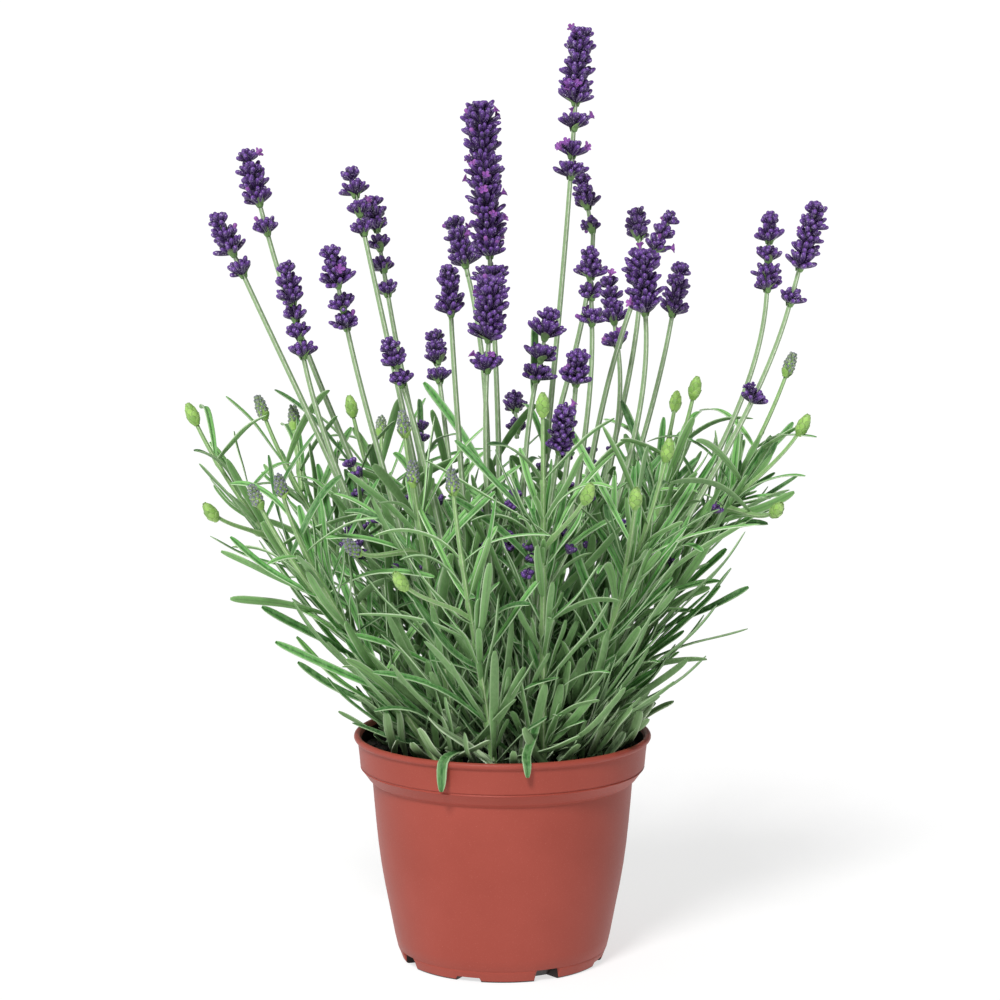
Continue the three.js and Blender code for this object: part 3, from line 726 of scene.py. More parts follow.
def whorl_bracts(builder, seat, up, radius, dice):
    """Two broad pointed bracts that cup a whorl from below."""
    rows = basis_for(up, dice.uniform(0, 3.2))
    widening = [0, 0.5 * MM, radius * 0.62]
    cup = lambda height: AXIS_GIRTH + 0.15 * MM + np.interp(height, [-1.6 * MM, 0, 3.0 * MM], widening)
    for side in (1, -1):
        tone = dice.uniform(0, 1)
        outward = rows[0] * side
        wrapped_scale(
            builder, seat, up, outward, -1.6 * MM, 2.6 * MM, cup, 1.9 * MM, 0.5 * MM, tone, BRACT_SLOT
        )


WHORL_SPACING = 5.2 * MM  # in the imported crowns
TOP_WHORL = 0.8  # how wide the highest whorl is beside those below it, so that a spike ends in a dome
BLOOM = 0.025  # the share of calyces with an open flower


def whorl_seats(axis):
    """Where a spike's whorls start: (distance below the tip, radius, height that is free above it)."""
    reach = axis["below"][-1]
    at = np.arange(0.0, reach, 0.1 * MM)
    radii = np.interp(at, np.concatenate([[0], axis["below"]]), np.concatenate([[0], axis["radii"]]))
    thick = radii > 2.0 * MM
    edges = np.where(np.diff(np.concatenate([[0], thick.astype(int), [0]])))[0].reshape(-1, 2)
    seats = []
    for number, (a, b) in enumerate(edges):
        start, end = at[a], at[min(b, len(at) - 1)]
        if number == 0:
            count = max(2, int(round(end / WHORL_SPACING)))
            height = end / count
            for k in range(count):
                seat = end - k * height
                near = radii[(at <= seat) & (at >= seat - height)].max()
                near = max(near, 0.88 * radii[at <= end].max())
                if k == count - 1:
                    seats.append((seat - 0.2 * MM, near * TOP_WHORL, 7.5 * MM))
                else:
                    seats.append((seat + 0.4 * MM, near, 7.5 * MM))
        else:
            seats.append((end + 0.2 * MM, radii[a:b].max(), 6 * MM))
    return seats


def make_spike(axis, looks, dice, bloom):
    builder = Builder()
    tip, down = axis["tip"], axis["down"]
    up = -down
    seats = whorl_seats(axis)
    for number, (below, radius, headroom) in enumerate(seats):
        seat = tip + down * below
        headroom = min(headroom, below - 0.2 * MM)
        whorl(builder, seat, up, radius * dice.uniform(1.02, 1.16), dice, bloom, headroom)
        if number == 0 or below > seats[0][0]:
            whorl_bracts(builder, seat, up, radius, dice)
    foot = tip + down * (axis["length"] + 0.35 * MM)
    path = np.linspace(foot, tip + down * 3 * MM, 14)
    stalk(builder, path, 1.0 * MM, 0.6 * MM, [], 0.5, AXIS_SLOT)
    piece = builder.piece(axis["name"].replace("flower_spike", "spike"), looks)
    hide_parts(axis["name"])


BUD_LENGTH = 9.6 * MM
BUD_GIRTH = 2.25 * MM
BUD_SLOT, YOUNG_SLOT = 1, 2  # in a shoot's list of materials
YOUNG_TIERS = (6, 7, 7, 7, 6, 4)  # how many calyces each ring of a young bud has, from the lowest

# Buds whose grey-green calyces already show: for each shoot, which of its buds, the highest being 0.
YOUNG_BUDS = {
    "leafy_shoot_02": (0, 1), "leafy_shoot_03": (0, 1), "leafy_shoot_04": (1,), "leafy_shoot_05": (0, 1, 2),
    "leafy_shoot_06": (0,), "leafy_shoot_10": (0,),
}


def bud(builder, tip, down, dice, is_young):
    """A young green spike: broad scales pressed together, or small calyces above two scales."""
    up = -down
    foot = tip + down * BUD_LENGTH
    girth = lambda h: BUD_GIRTH * math.sin(math.pi * min(0.97, max(0.06, h / BUD_LENGTH)) ** 0.8) ** 0.62
    heights = np.linspace(0.0, BUD_LENGTH * 0.98, 12)
    turn = np.arange(14) * 2 * math.pi / 14
    rows = basis_for(up, dice.uniform(0, FULL_TURN))
    around = rows[0] * np.cos(turn)[:, None] + rows[1] * np.sin(turn)[:, None]
    radii = np.array([girth(h) * 0.92 for h in heights])
    rings = foot + up * heights[:, None, None] + around[None] * radii[:, None, None]
    builder.loft(rings, 0.0, heights / BUD_LENGTH, 0.0, dice.uniform(0, 1), BUD_SLOT)
    if is_young:
        young_calyces(builder, foot, up, rows, girth, dice)
        return
    for tier in range(6):
        low = BUD_LENGTH * (0.01 + 0.15 * tier)
        for k in range(4):
            angle = math.pi / 2 * k + tier * math.pi / 4 + dice.normal(0, 0.08)
            outward = rows[0] * math.cos(angle) + rows[1] * math.sin(angle)
            high = min(low + BUD_LENGTH * 0.32, BUD_LENGTH * 1.0)
            tone = dice.uniform(0, 1)
            wrapped_scale(builder, foot, up, outward, low, high, girth, 1.75 * MM, 0.3 * MM, tone, BUD_SLOT)


def young_calyces(builder, foot, up, rows, girth, dice):
    """The small grey-green calyces of a bud that has begun to open, above two green scales."""
    for tier, count in enumerate(YOUNG_TIERS):
        low = BUD_LENGTH * (0.1 + 0.145 * tier)
        for k in range(count):
            angle = 2 * math.pi * (k + 0.5 * tier + dice.normal(0, 0.08)) / count
            outward = rows[0] * math.cos(angle) + rows[1] * math.sin(angle)
            base = foot + up * low + outward * girth(low) * 0.45
            lean = 0.7 - 0.1 * tier
            long = dice.uniform(2.6, 3.1) * MM
            calyx(builder, base, unit(up + outward * lean), long, 0.62 * MM, dice, YOUNG_SLOT)
    high = BUD_LENGTH * 0.36
    for side in (1, -1):
        tone = dice.uniform(0, 1)
        outward = rows[0] * side
        wrapped_scale(builder, foot, up, outward, 0.0, high, girth, 2.2 * MM, 0.5 * MM, tone, BUD_SLOT)


def spikelet(builder, start, way, dice):
    """A small late flower cluster on a short stalk of its own among the leaves."""
    aside = unit(basis_for(way, dice.uniform(0, FULL_TURN))[0] + outward_of(start))
    length = dice.uniform(8, 26) * MM
    path = leaf_path(start, way + aside * 0.8, UP, length, 0.6)
    stalk(builder, path, 0.7 * MM, 0.55 * MM, [], 0.5)
    end, up = path[-1], unit(path[-1] - path[-2])
    for k in range(int(dice.integers(1, 3))):
        seat = end + up * (5.0 * k - 1) * MM
        rows = basis_for(up, dice.uniform(0, FULL_TURN))
        for j in range(7):
            turn = 2 * math.pi * j / 7
            lean = rows[0] * math.cos(turn) + rows[1] * math.sin(turn)
            long = dice.uniform(3.6, 4.8) * MM
            direction = unit(up + lean * dice.uniform(0.4, 1.1))
            calyx(builder, seat, direction, long, 0.9 * MM, dice, STEM_CALYX_SLOT)


# ------------------------------------------------------------------ materials

class Nodes:
    """A node tree with short names for the nodes that it needs."""

    def __init__(self, tree):
        self.tree = tree

    def node(self, kind, inputs=(), **settings):
        made = self.tree.nodes.new(kind)
        for key, value in settings.items():
            setattr(made, key, value)
        for key, value in dict(inputs).items():
            self.feed(made.inputs[key], value)
        return made

    def feed(self, socket, value):
        """Links a socket to another one, or sets it to a value."""
        if isinstance(value, bpy.types.NodeSocket):
            self.tree.links.new(value, socket)
        else:
            socket.default_value = value

    def calc(self, operation, a, b=0.0):
        return self.node("ShaderNodeMath", {0: a, 1: b}, operation=operation).outputs[0]

    def ramp(self, factor, stops):
        """A smooth run of numbers or colours: stops are (position, number or colour)."""
        made = self.node("ShaderNodeValToRGB", {"Fac": factor})
        elements = made.color_ramp.elements
        while len(elements) < len(stops):
            elements.new(0.5)
        for element, (position, colour) in zip(elements, stops):
            element.position = position
            element.color = (*colour, 1) if isinstance(colour, tuple) else (colour, colour, colour, 1)
        return made.outputs["Color"]


class Look(Nodes):
    """A material whose Principled shader starts with some plain values."""

    def __init__(self, name, **sockets):
        self.material = bpy.data.materials.new(name)
        self.material.use_nodes = True
        super().__init__(self.material.node_tree)
        self.shader = self.tree.nodes["Principled BSDF"]
        for key, value in sockets.items():
            self.shader.inputs[key.replace("_", " ").title().replace("Ior", "IOR")].default_value = value

    def value(self, name):
        """A number that Builder wrote at each corner."""
        return self.node("ShaderNodeAttribute", attribute_name=name).outputs["Fac"]

    def place(self, scale=(1, 1, 1)):
        coordinates = self.node("ShaderNodeTexCoord").outputs["Object"]
        return self.node("ShaderNodeMapping", {"Vector": coordinates, "Scale": scale}).outputs["Vector"]

    def noise(self, scale, detail=3.0, stretch=(1, 1, 1)):
        inputs = {"Vector": self.place(stretch), "Scale": scale, "Detail": detail, "Roughness": 0.55}
        return self.node("ShaderNodeTexNoise", inputs).outputs["Fac"]

    def mix(self, factor, a, b):
        made = self.node("ShaderNodeMix", data_type="RGBA")
        for index, value in ((0, factor), (6, a), (7, b)):
            self.feed(made.inputs[index], (*value, 1) if isinstance(value, tuple) else value)
        return made.outputs[2]

    def bump(self, height, strength, distance):
        made = self.node("ShaderNodeBump", {"Height": height, "Strength": strength, "Distance": distance})
        self.feed(self.shader.inputs["Normal"], made.outputs["Normal"])

    def colour(self, socket):
        self.feed(self.shader.inputs["Base Color"], socket)

    def roughness(self, socket):
        self.feed(self.shader.inputs["Roughness"], socket)


def srgb(r, g, b):
    """A colour given as 0 to 255 display values, in linear light."""
    return tuple(((c / 255 + 0.055) / 1.055) ** 2.4 if c > 10 else c / 255 / 12.92 for c in (r, g, b))


def leaf_look(name, low, middle, high, groove):
    look = Look(name, roughness=0.55, sheen_weight=0.05, specular_ior_level=0.35)
    tone = look.value("tone")
    fresh = look.ramp(tone, [(0.0, low), (0.45, middle), (1.0, high)])
    edge = look.calc("ABSOLUTE", look.value("across"))
    # Painted shade: the middle of the leaf is darkened towards the groove colour, where shade falls in its
    # fold.
    groove_shade = look.ramp(edge, [(0.0, 0.85), (0.1, 0.6), (0.26, 0.0)])
    body = look.mix(groove_shade, fresh, groove)
    pale = look.ramp(tone, [(0.0, srgb(164, 190, 146)), (1.0, srgb(236, 246, 222))])
    rim = look.ramp(edge, [(0.0, 0.0), (0.66, 0.0), (0.88, 0.7), (1.0, 0.85)])
    body = look.mix(rim, body, pale)
    streaks = look.noise(700, 4, (1, 1, 0.3))
    patchy = look.ramp(streaks, [(0.4, 0.0), (0.72, 0.45)])
    body = look.mix(patchy, body, srgb(152, 192, 134))
    under = look.mix(look.calc("MULTIPLY", look.value("under"), 0.6), body, srgb(126, 164, 104))
    look.colour(under)
    look.bump(look.noise(2600, 2), 0.3, 0.15 * MM)
    return look.material


def stalk_look(name, low, high):
    look = Look(name, roughness=0.55, sheen_weight=0.1)
    rib = look.ramp(look.value("across"), [(0.0, 0.0), (0.45, 0.1), (0.9, 1.0)])
    body = look.mix(rib, low, high)
    fine = look.noise(1400, 3, (1, 1, 0.3))
    dashes = look.ramp(fine, [(0.4, 0.0), (0.65, 0.45)])
    look.colour(look.mix(dashes, body, srgb(120, 140, 102)))
    look.bump(fine, 0.35, 0.12 * MM)
    return look.material


def calyx_look(name, deep, middle, tip, foot, glint):
    look = Look(name, roughness=0.26, sheen_weight=0.1)
    tone = look.value("tone")
    base = look.ramp(tone, [(0.0, deep), (1.0, middle)])
    along = look.value("along")
    ends = look.ramp(along, [(0.0, 0.0), (0.62, 0.0), (0.9, 0.55), (1.0, 1.0)])
    body = look.mix(ends, base, tip)
    start = look.ramp(along, [(0.0, 0.75), (0.3, 0.0)])
    body = look.mix(start, body, foot)
    rib = look.ramp(look.value("across"), [(0.2, 0.0), (1.0, 0.26)])
    body = look.mix(rib, body, srgb(160, 138, 190))
    # Painted highlight: small pale specks of reflected light scattered over the calyces.
    painted_glint_specks = look.ramp(look.noise(1500, 2), [(0.6, 0.0), (0.7, 0.75)])
    look.colour(look.mix(painted_glint_specks, body, glint))
    look.bump(look.noise(3000, 2), 0.2, 0.08 * MM)
    return look.material


def corolla_look():
    look = Look("corolla_lilac", roughness=0.5, sheen_weight=0.2)
    shade = look.ramp(look.value("tone"), [(0.0, srgb(128, 66, 158)), (1.0, srgb(170, 96, 184))])
    veins = look.noise(1800, 3)
    look.colour(look.mix(look.calc("MULTIPLY", veins, 0.4), shade, srgb(104, 48, 140)))
    return look.material


def bract_look():
    look = Look("bract_green", roughness=0.6)
    stops = [(0.0, srgb(110, 156, 84)), (0.7, srgb(132, 164, 104)), (1.0, srgb(96, 76, 92))]
    shade = look.ramp(look.value("along"), stops)
    look.colour(look.mix(look.calc("MULTIPLY", look.noise(1500, 3), 0.4), shade, srgb(92, 116, 72)))
    return look.material


def bud_look():
    look = Look("bud_lime", roughness=0.5, sheen_weight=0.1)
    shade = look.ramp(look.value("tone"), [(0.0, srgb(112, 164, 66)), (1.0, srgb(160, 206, 100))])
    edge = look.calc("ABSOLUTE", look.value("across"))
    rim = look.ramp(edge, [(0.5, 0.0), (1.0, 0.8)])
    body = look.mix(rim, shade, srgb(70, 104, 46))
    tip = look.ramp(look.value("along"), [(0.0, 0.0), (0.7, 0.0), (1.0, 0.5)])
    body = look.mix(tip, body, srgb(150, 168, 120))
    look.colour(look.mix(look.calc("MULTIPLY", look.noise(1600, 3), 0.3), body, srgb(176, 204, 122)))
    return look.material


# Where the pot is darkened: its inner wall, with painted shade and a soil stain, is nearer to the axis than
# the first and above the second; the backs of its notches, with painted shade, are nearer than the third and
# below the fourth.
INNER_WALL_REACH = 56.98 * MM
INNER_WALL_LOW = 79.7 * MM
NOTCH_REACH = 40.8 * MM
NOTCH_TOP = 5.3 * MM


def pot_look():
    look = Look("terracotta_plastic", roughness=0.5, specular_ior_level=0.22)
    specks = look.ramp(look.noise(2300, 2), [(0.3, 0.0), (0.62, 0.0), (0.72, 1.0)])
    cloud = look.ramp(look.noise(26, 4), [(0.3, srgb(148, 65, 53)), (0.7, srgb(157, 71, 59))])
    plastic = look.mix(look.calc("MULTIPLY", specks, 0.2), cloud, srgb(200, 120, 104))
    away = look.node("ShaderNodeVectorMath", {0: look.place((1, 1, 0))}, operation="LENGTH").outputs["Value"]
    height = look.node("ShaderNodeSeparateXYZ", {0: look.place()}).outputs["Z"]
    inside = look.calc("LESS_THAN", away, INNER_WALL_REACH)
    wall_shade_and_stain = look.calc("MULTIPLY", inside, look.calc("GREATER_THAN", height, INNER_WALL_LOW))
    under = look.calc("LESS_THAN", away, NOTCH_REACH)
    shaded = look.calc("MULTIPLY", under, look.calc("LESS_THAN", height, NOTCH_TOP))
    # Near-black colour: painted shade with some soil stain on the inner wall, painted shade alone at the
    # backs of the notches.
    shade_and_stain = look.ramp(look.noise(160, 4), [(0.3, srgb(12, 8, 7)), (0.75, srgb(48, 24, 19))])
    look.colour(look.mix(look.calc("MAXIMUM", wall_shade_and_stain, shaded), plastic, shade_and_stain))
    fine = look.noise(1500, 4)
    look.roughness(look.ramp(fine, [(0.0, 0.36), (1.0, 0.56)]))
    look.bump(fine, 0.3, 0.12 * MM)
    return look.material


def soil_look():
    look = Look("peat_compost", roughness=0.95)
    grain = look.noise(420, 6)
    stops = [(0.25, srgb(14, 11, 10)), (0.6, srgb(34, 27, 23)), (0.85, srgb(66, 52, 42))]
    look.colour(look.ramp(grain, stops))
    look.bump(look.noise(700, 6), 0.8, 0.8 * MM)
    return look.material


def floor_look():
    look = Look("studio_floor", roughness=0.8, emission_strength=0.68)
    look.shader.inputs["Emission Color"].default_value = (1, 1, 1, 1)
    look.colour(look.ramp(look.noise(3, 2), [(0.0, 0.38), (1.0, 0.4)]))
    return look.material


# ------------------------------------------------------------------ pot and compost

POT_AROUND = 360
PACKED_NOTCHES = (1.2 * MM, 5.0 * MM)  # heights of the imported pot's notches
SHALLOW_NOTCH = 1.9 * MM  # what the lower ones are raised to
NOTCH_HALF = 6.5  # degrees
SAME_NOTCH = 12  # degrees between two corners, at most, if they belong to one notch
FOOT_RING_INSIDE = 34 * MM
UNDERSIDE_TOP = 5.05 * MM


def pot_notches():
    """Where the drainage notches are round the foot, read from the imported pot: the height of its
    underside at each of the turned form's steps."""
    shape = Shape("pot")
    low = shape.points[(shape.points[:, 2] < 5.5 * MM) & (shape.points[:, 2] > 0.4 * MM)]
    away = np.hypot(low[:, 0], low[:, 1])
    turn = np.degrees(np.arctan2(low[:, 1], low[:, 0])) % 360
    heights = np.zeros(POT_AROUND)
    for height in PACKED_NOTCHES:
        on_roof = (np.abs(low[:, 2] - height) < 0.05 * MM) & (away > 32 * MM) & (away < 43 * MM)
        angles = np.unique(np.round(turn[on_roof], 1))
        groups = np.split(angles, np.where(np.diff(angles) > SAME_NOTCH)[0] + 1)
        if len(groups) > 1 and groups[0][0] + 360 - groups[-1][-1] < SAME_NOTCH:
            groups[0] = np.concatenate([groups[-1] - 360, groups[0]])
            groups.pop()
        for group in groups:
            if group.max() - group.min() > 4:
                middle = (group.min() + group.max()) / 2
                offset = (np.arange(POT_AROUND) - middle + 180) % 360 - 180
                heights[np.abs(offset) <= NOTCH_HALF] = max(height, SHALLOW_NOTCH)
    return heights


def arc(centre, radius, start, end, count):
    turn = np.radians(np.linspace(start, end, count))
    return [(centre[0] + radius * math.cos(a), centre[1] + radius * math.sin(a)) for a in turn]


CORNER = 0.16  # millimetres between a corner of the pot's outline and the points that keep it crisp


def crisp(outline):
    """The outline with a further point close to each side of every sharp corner."""
    made = []
    for before, corner, after in zip([outline[-1], *outline[:-1]], outline, [*outline[1:], outline[0]]):
        back = np.subtract(before, corner)
        on = np.subtract(after, corner)
        turn = math.degrees(math.acos(np.clip(-np.dot(unit(back), unit(on)), -1, 1)))
        roomy = min(np.linalg.norm(back), np.linalg.norm(on)) > 3 * CORNER
        if turn > 14 and roomy:
            made += [tuple(corner + unit(back) * CORNER), tuple(corner), tuple(corner + unit(on) * CORNER)]
        else:
            made.append(corner)
    return made


def pot_profile():
    """The pot's outline as (radius, height) in millimetres, from the foot up the outside and back down."""
    rim, top = RIM_RADIUS / MM, POT_HEIGHT / MM
    foot = [(38.6, 0.0), *arc((39.6, 1.4), 1.4, -90, -12, 5), (41.9, 3.6), (42.35, 4.6), (42.3, 4.9)]
    low_wall = [(42.6, 5.2), (43.8, 10.3), (46.2, 23), (47.8, 31.2), (49.2, 39.6)]
    high_wall = [(50.3, 48), (51.2, 57), (51.9, 65), (52.5, 72.6)]
    step = [(52.6, 74.0), (54.3, 75.3), (56.9, 78.9), (57.4, 79.4)]
    crease = [(57.05, 79.75), (57.05, 80.05), (57.5, 80.4)]
    collar = [(57.8, 84), (58.3, 88.5), (58.5, top - 2.9), (58.9, top - 2.6)]
    bead = arc((rim - 1.3, top - 1.3), 1.28, -60, 110, 9)
    inside = [(rim - 2.3, top - 0.5), (rim - 3.1, top - 2.2), (56.4, 84), (55.7, 79.4), (53.4, 76.6)]
    inner_wall = [(51.0, 74), (49.6, 57), (47.6, 39.6), (44.6, 23), (42.2, 10.3), (40.6, 6.4)]
    pot_floor = [(38, 5.0), (0.4, 4.8)]
    underside = [(0.4, 3.1), (30.5, 3.1), (31.6, 2.7), (33.0, 0.0)]
    outer = [*foot, *low_wall, *high_wall, *step, *crease, *collar, *bead]
    return crisp([*outer, *inside, *inner_wall, *pot_floor, *underside])


def make_pot():
    profile = np.array(pot_profile()) * MM
    turn = np.radians(np.arange(POT_AROUND))
    lifted = pot_notches()
    rings = []
    for radius, height in profile:
        z = np.full(POT_AROUND, height)
        if height < UNDERSIDE_TOP and radius > FOOT_RING_INSIDE:
            z = np.maximum(z, lifted)
        rings.append(np.stack([radius * np.cos(turn), radius * np.sin(turn), z], axis=-1))
    rings = np.array(rings)
    n, m = rings.shape[:2]
    i, j = np.meshgrid(np.arange(n), np.arange(m), indexing="ij")
    up, on = (i + 1) % n, (j + 1) % m
    quads = np.stack([i * m + j, i * m + on, up * m + on, up * m + j], axis=-1).reshape(-1, 4)
    builder = Builder()
    builder.add(rings.reshape(-1, 3), quads, np.zeros((0, 3), dtype=int))
    pot = builder.piece("nursery_pot", [pot_look()])
    split = pot.modifiers.new("crisp_edges", "EDGE_SPLIT")
    split.split_angle = math.radians(50)
    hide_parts("pot")


COMPOST_EDGE = 55.6 * MM
# Small and large crumbs: how many, how far from the axis, and their sizes in millimetres.
CRUMBS = ((900, 54 * MM, (0.5, 1.6)), (90, 53 * MM, (1.6, 3.2)))


def lumps(builder, dice, count, reach, sizes):
    """Crumbs of compost: small uneven closed lumps half sunk in its surface."""
    around, levels = 8, 6
    heights = np.cos(np.linspace(0.25, math.pi - 0.25, levels))[::-1]
    for _ in range(count):
        away = reach * math.sqrt(dice.uniform(0, 1))
        turn = dice.uniform(0, 2 * math.pi)
        size = dice.uniform(*sizes) * MM
        z = SOIL + soil_height(away, turn) + size * 0.25
        centre = np.array([away * math.cos(turn), away * math.sin(turn), z])
        angle = np.arange(around) * 2 * math.pi / around
        flat = np.sqrt(1 - heights**2)[:, None]
        upright = np.repeat(heights[:, None], around, 1)
        form = np.stack([flat * np.cos(angle), flat * np.sin(angle), upright], axis=-1)
        form = form * dice.uniform(0.75, 1.25, (levels, around, 1)) * dice.uniform(0.6, 1.2, 3) * size
        builder.loft(form + centre, 0.0, heights, 0.0, dice.uniform(0, 1))


def soil_height(away, turn):
    """How far the compost's surface stands above or below its level."""
    ripple = np.sin(away / MM * 0.9 + 3 * np.sin(turn * 2)) * np.cos(turn * 5 + away / MM * 0.35)
    banked = 5.0 * np.clip((away / MM - 30) / 25, 0, 1) ** 2
    return (-0.9 + banked + 0.55 * ripple + 0.35 * np.sin(away / MM * 2.3) * np.sin(turn * 9)) * MM


def make_compost():
    dice = np.random.default_rng(SEED)
    builder = Builder()
    around, levels = 180, 40
    turn = np.arange(around) * 2 * math.pi / around
    under = np.full(around, SOIL - 9 * MM)
    rings = [np.stack([np.cos(turn) * 50 * MM, np.sin(turn) * 50 * MM, under], axis=-1)]
    for away in np.linspace(COMPOST_EDGE, 0.6 * MM, levels):
        grain = dice.normal(0, 0.22, around) * MM * (away < COMPOST_EDGE * 0.99)
        z = SOIL + soil_height(away, turn) + grain
        rings.append(np.stack([away * np.cos(turn), away * np.sin(turn), z], axis=-1))
    builder.loft(np.array(rings), 0.0, np.linspace(0, 1, levels + 1))
    for count, reach, sizes in CRUMBS:
        lumps(builder, dice, count, reach, sizes)
    bed = builder.piece("compost_bed", [soil_look()])
    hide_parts("compost")


# ------------------------------------------------------------------ whole plant

TALL_LEAF_STEM = "flower_stem_11"  # one leaf stands high on this stem
TALL_LEAF_TOP = 0.3
HANGING_LEAF_STEM = "flower_stem_01"  # the leaves that hang over the rim are made with this stem
LONE_WHORLS = {"flower_stem_21": 228 * MM}  # stems with a small whorl far below the spike, and its height
RIGHT_SIDE = 40 * MM  # stalks that end further to the right than this carry leaves closer together
LEAFY_PART = 46 * MM  # a shoot's leaves stop this far below its bud


def plant_looks():
    return {
        "leaf": leaf_look(
            "leaf_felted_green", srgb(38, 82, 36), srgb(94, 164, 78), srgb(150, 212, 120), srgb(36, 82, 34)
        ),
        "old_leaf": leaf_look(
            "leaf_old_grey_green", srgb(84, 112, 74), srgb(116, 142, 102), srgb(170, 188, 150),
            srgb(66, 90, 58),
        ),
        "green": stalk_look("stalk_pale_green", srgb(148, 180, 130), srgb(230, 234, 216)),
        "fresh": stalk_look("shoot_green", srgb(140, 184, 112), srgb(204, 220, 176)),
        "violet": calyx_look(
            "calyx_violet", srgb(26, 6, 48), srgb(60, 20, 94), srgb(102, 54, 150), srgb(44, 36, 54),
            srgb(208, 194, 226),
        ),
        "young": calyx_look(
            "calyx_young", srgb(112, 142, 88), srgb(156, 176, 132), srgb(92, 84, 124), srgb(112, 152, 84),
            srgb(206, 214, 196),
        ),
        "corolla": corolla_look(),
        "bract": bract_look(),
        "lime": bud_look(),
    }


def hand_over(builder, name, kind, word, looks):
    """Makes a piece that stands for the CAD node called name, with word in place of kind in its name."""
    piece = builder.piece(name.replace(kind, word), looks)
    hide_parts(name)


def packed_leaves(foliage, shape, dice):
    """Draws the CAD's own leaves of one node; gives the points at which they leave their stalks."""
    packed = leaves_of(shape)
    for one in packed:
        packed_leaf(foliage, one, dice)
    return [one["curve"][0] for one in packed]


def length_of(path):
    return np.linalg.norm(np.diff(path, axis=0), axis=1).sum()


def make_stem(name, dice, looks):
    shape, stalks = flower_stalks(name)
    builder, foliage = Builder(), Builder()
    roots = packed_leaves(foliage, shape, dice)
    for order, path in enumerate(stalks):
        sunk = np.concatenate([[path[0] - UP * 2 * MM], path])
        stalk(builder, sunk, 1.5 * MM, 0.92 * MM, roots, dice.uniform(0, 1))
        highest = max([r[2] for r in roots] + [SOIL + 70 * MM]) + 8 * MM
        length = length_of(path)
        stop = length * min(0.8, (highest - SOIL) / (path[-1][2] - SOIL))
        start = (12 if order == 0 else 30) * MM
        spacing = (12 if path[-1][0] > RIGHT_SIDE else 17) * MM
        dress_with_leaves(foliage, path, dice, start, stop, spacing, (40 * MM, 68 * MM), STEM_LEAF_TOP)
        for _ in range(int(dice.integers(1, 4))):
            place = int(len(path) * stop / length * dice.uniform(0.62, 0.98))
            place = min(place, len(path) - 14)
            spikelet(builder, path[place], unit(path[place + 1] - path[place]), dice)
    if name in LONE_WHORLS:
        path = stalks[0]
        place = int(np.argmin(np.abs(path[:, 2] - LONE_WHORLS[name])))
        up = unit(path[place + 1] - path[place - 1])
        whorl(builder, path[place], up, 5.4 * MM, dice, 0.1, 6 * MM, STEM_CALYX_SLOT)
    basal_leaves(foliage, stalks[0][0], dice, 4)
    hand_over(builder, name, "flower_stem", "stalk", [looks["green"], looks["violet"]])
    if name == TALL_LEAF_STEM:
        root = stalks[0][-3]
        slant = math.radians(10)
        size = (31 * MM, 1.9 * MM)
        grow_leaf(foliage, root, UP, math.pi, slant, *size, 0.2, 0.6, dice, TALL_LEAF_TOP, 0.4)
    if name == HANGING_LEAF_STEM:
        for hanging in HANGING_LEAVES:
            hanging_leaf(foliage, hanging)
    hand_over(foliage, name, "flower_stem", "stalk_leaves", [looks["leaf"]])


def make_shoot(name, dice, looks):
    shape, stalks = bud_stalks(name)
    builder, foliage = Builder(), Builder()
    roots = packed_leaves(foliage, shape, dice)
    for order, path in enumerate(stalks):
        down = unit(path[-5] - path[-1])
        bud(builder, path[-1], down, dice, order in YOUNG_BUDS.get(name, ()))
        thick = 1.7 * MM if order == 0 else 1.2 * MM
        stalk(builder, path[:-3], thick, 0.75 * MM, roots, dice.uniform(0, 1))
        stop = length_of(path) - LEAFY_PART
        spacing = (7 if path[-1][0] > RIGHT_SIDE else 11.5) * MM
        dress_with_leaves(foliage, path, dice, 8 * MM, stop, spacing, (38 * MM, 66 * MM), SHOOT_LEAF_TOP)
    basal_leaves(foliage, stalks[0][0], dice, 8)
    side_leaves(foliage, name, stalks[0], dice)
    litter = len(foliage.slots4)
    litter_leaves(foliage, dice, 14)
    for slots in (foliage.slots4, foliage.slots3):
        slots[litter:] = [np.ones_like(one) for one in slots[litter:]]
    shoot_looks = [looks["fresh"], looks["lime"], looks["young"]]
    hand_over(builder, name, "leafy_shoot", "shoot", shoot_looks)
    hand_over(foliage, name, "leafy_shoot", "shoot_leaves", [looks["leaf"], looks["old_leaf"]])


def make_plant():
    looks = plant_looks()
    flower_looks = [looks[key] for key in ("violet", "corolla", "bract", "green")]
    axes = [spike_axis(name) for name in nodes_named("flower_spike")]
    for number, axis in enumerate(axes):
        bloom = BLOOM * (1.8 if axis["below"][-1] > 50 * MM else 0.6)
        make_spike(axis, flower_looks, np.random.default_rng(SEED + 100 + number), bloom)
    for number, name in enumerate(nodes_named("flower_stem")):
        make_stem(name, np.random.default_rng(SEED + 200 + number), looks)
    for number, name in enumerate(nodes_named("leafy_shoot")):
        make_shoot(name, np.random.default_rng(SEED + 300 + number), looks)


# ------------------------------------------------------------------ studio

CAMERA_DISTANCE = 1.279
CAMERA_HEIGHT = 0.3706
CAMERA_PITCH = math.radians(8.15)
CAMERA_LENS = 116.3

# The sky's brightness by the height of a direction: white at the horizon, dimmer overhead.
SKY = ((0.03, 1.05), (0.12, 0.72), (0.8, 0.5))
SKY_SIDES = (0.9, 0.12)  # how bright it is on the left and on the right, away from the horizon
FLOOR_REACH = 40.0
# Two suns: strength, how wide each looks in degrees, and its turn in degrees.
SUNS = {"key_light": (2.6, 14, (44, 0, -18)), "fill_light": (0.1, 60, (60, 0, -50))}


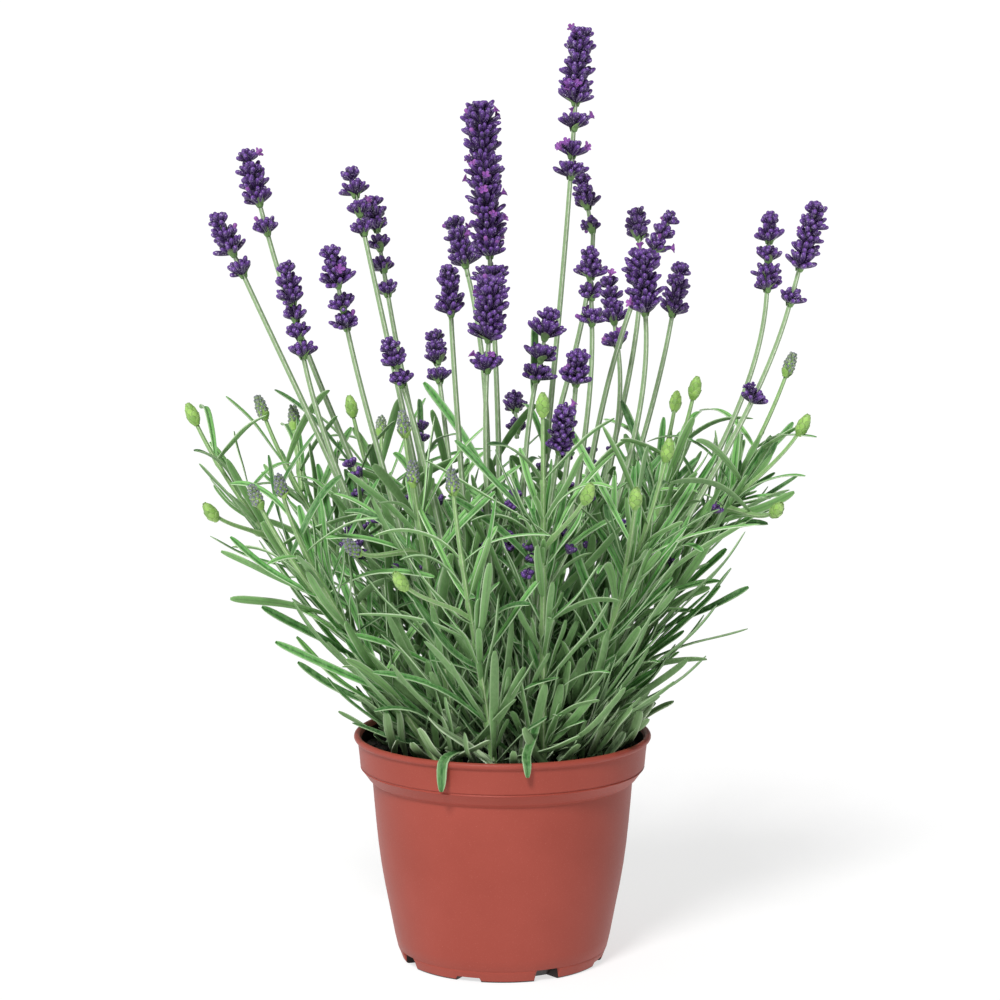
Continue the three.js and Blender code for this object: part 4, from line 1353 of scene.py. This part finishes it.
def make_studio():
    scene = bpy.context.scene
    floor_mesh = bpy.data.meshes.new("studio_floor")
    reach = FLOOR_REACH
    corners = [(-reach, -reach, 0), (reach, -reach, 0), (reach, reach, 0), (-reach, reach, 0)]
    floor_mesh.from_pydata(corners, [], [(0, 1, 2, 3)])
    floor_mesh.materials.append(floor_look())
    floor = bpy.data.objects.new("studio_floor", floor_mesh)
    scene.collection.objects.link(floor)

    world = bpy.data.worlds.new("studio_light")
    scene.world = world
    world.use_nodes = True
    sky = Nodes(world.node_tree)
    coordinates = sky.node("ShaderNodeTexCoord").outputs["Generated"]
    parts = sky.node("ShaderNodeSeparateXYZ", {0: coordinates}).outputs
    bright = sky.ramp(parts["Z"], SKY)
    across = {"Value": parts["X"], "From Min": -1, "To Min": SKY_SIDES[0], "To Max": SKY_SIDES[1]}
    side = sky.node("ShaderNodeMapRange", across).outputs["Result"]
    rising = {"Value": parts["Z"], "From Min": SKY[0][0], "From Max": SKY[1][0]}
    raised = sky.node("ShaderNodeMapRange", rising).outputs["Result"]
    dimming = sky.node("ShaderNodeMix", {0: raised, 2: 1, 3: side}).outputs[0]
    dimmed = sky.node("ShaderNodeVectorMath", {0: bright, "Scale": dimming}, operation="SCALE")
    background = world.node_tree.nodes["Background"]
    sky.feed(background.inputs["Color"], dimmed.outputs[0])
    background.inputs["Strength"].default_value = 1.0

    for name, (strength, spread, turn) in SUNS.items():
        light = bpy.data.lights.new(name, "SUN")
        light.energy = strength
        light.angle = math.radians(spread)
        lamp = bpy.data.objects.new(name, light)
        lamp.rotation_euler = [math.radians(angle) for angle in turn]
        scene.collection.objects.link(lamp)

    camera = bpy.data.cameras.new("photo_camera")
    camera.lens = CAMERA_LENS
    camera.sensor_width = 36
    camera.shift_x = -0.0025
    eye = bpy.data.objects.new("photo_camera", camera)
    eye.location = (0, -CAMERA_DISTANCE, CAMERA_HEIGHT)
    eye.rotation_euler = (math.pi / 2 - CAMERA_PITCH, 0, 0)
    scene.collection.objects.link(eye)
    scene.camera = eye
    scene.view_settings.view_transform = "Standard"


make_studio()
make_pot()
make_compost()
make_plant()
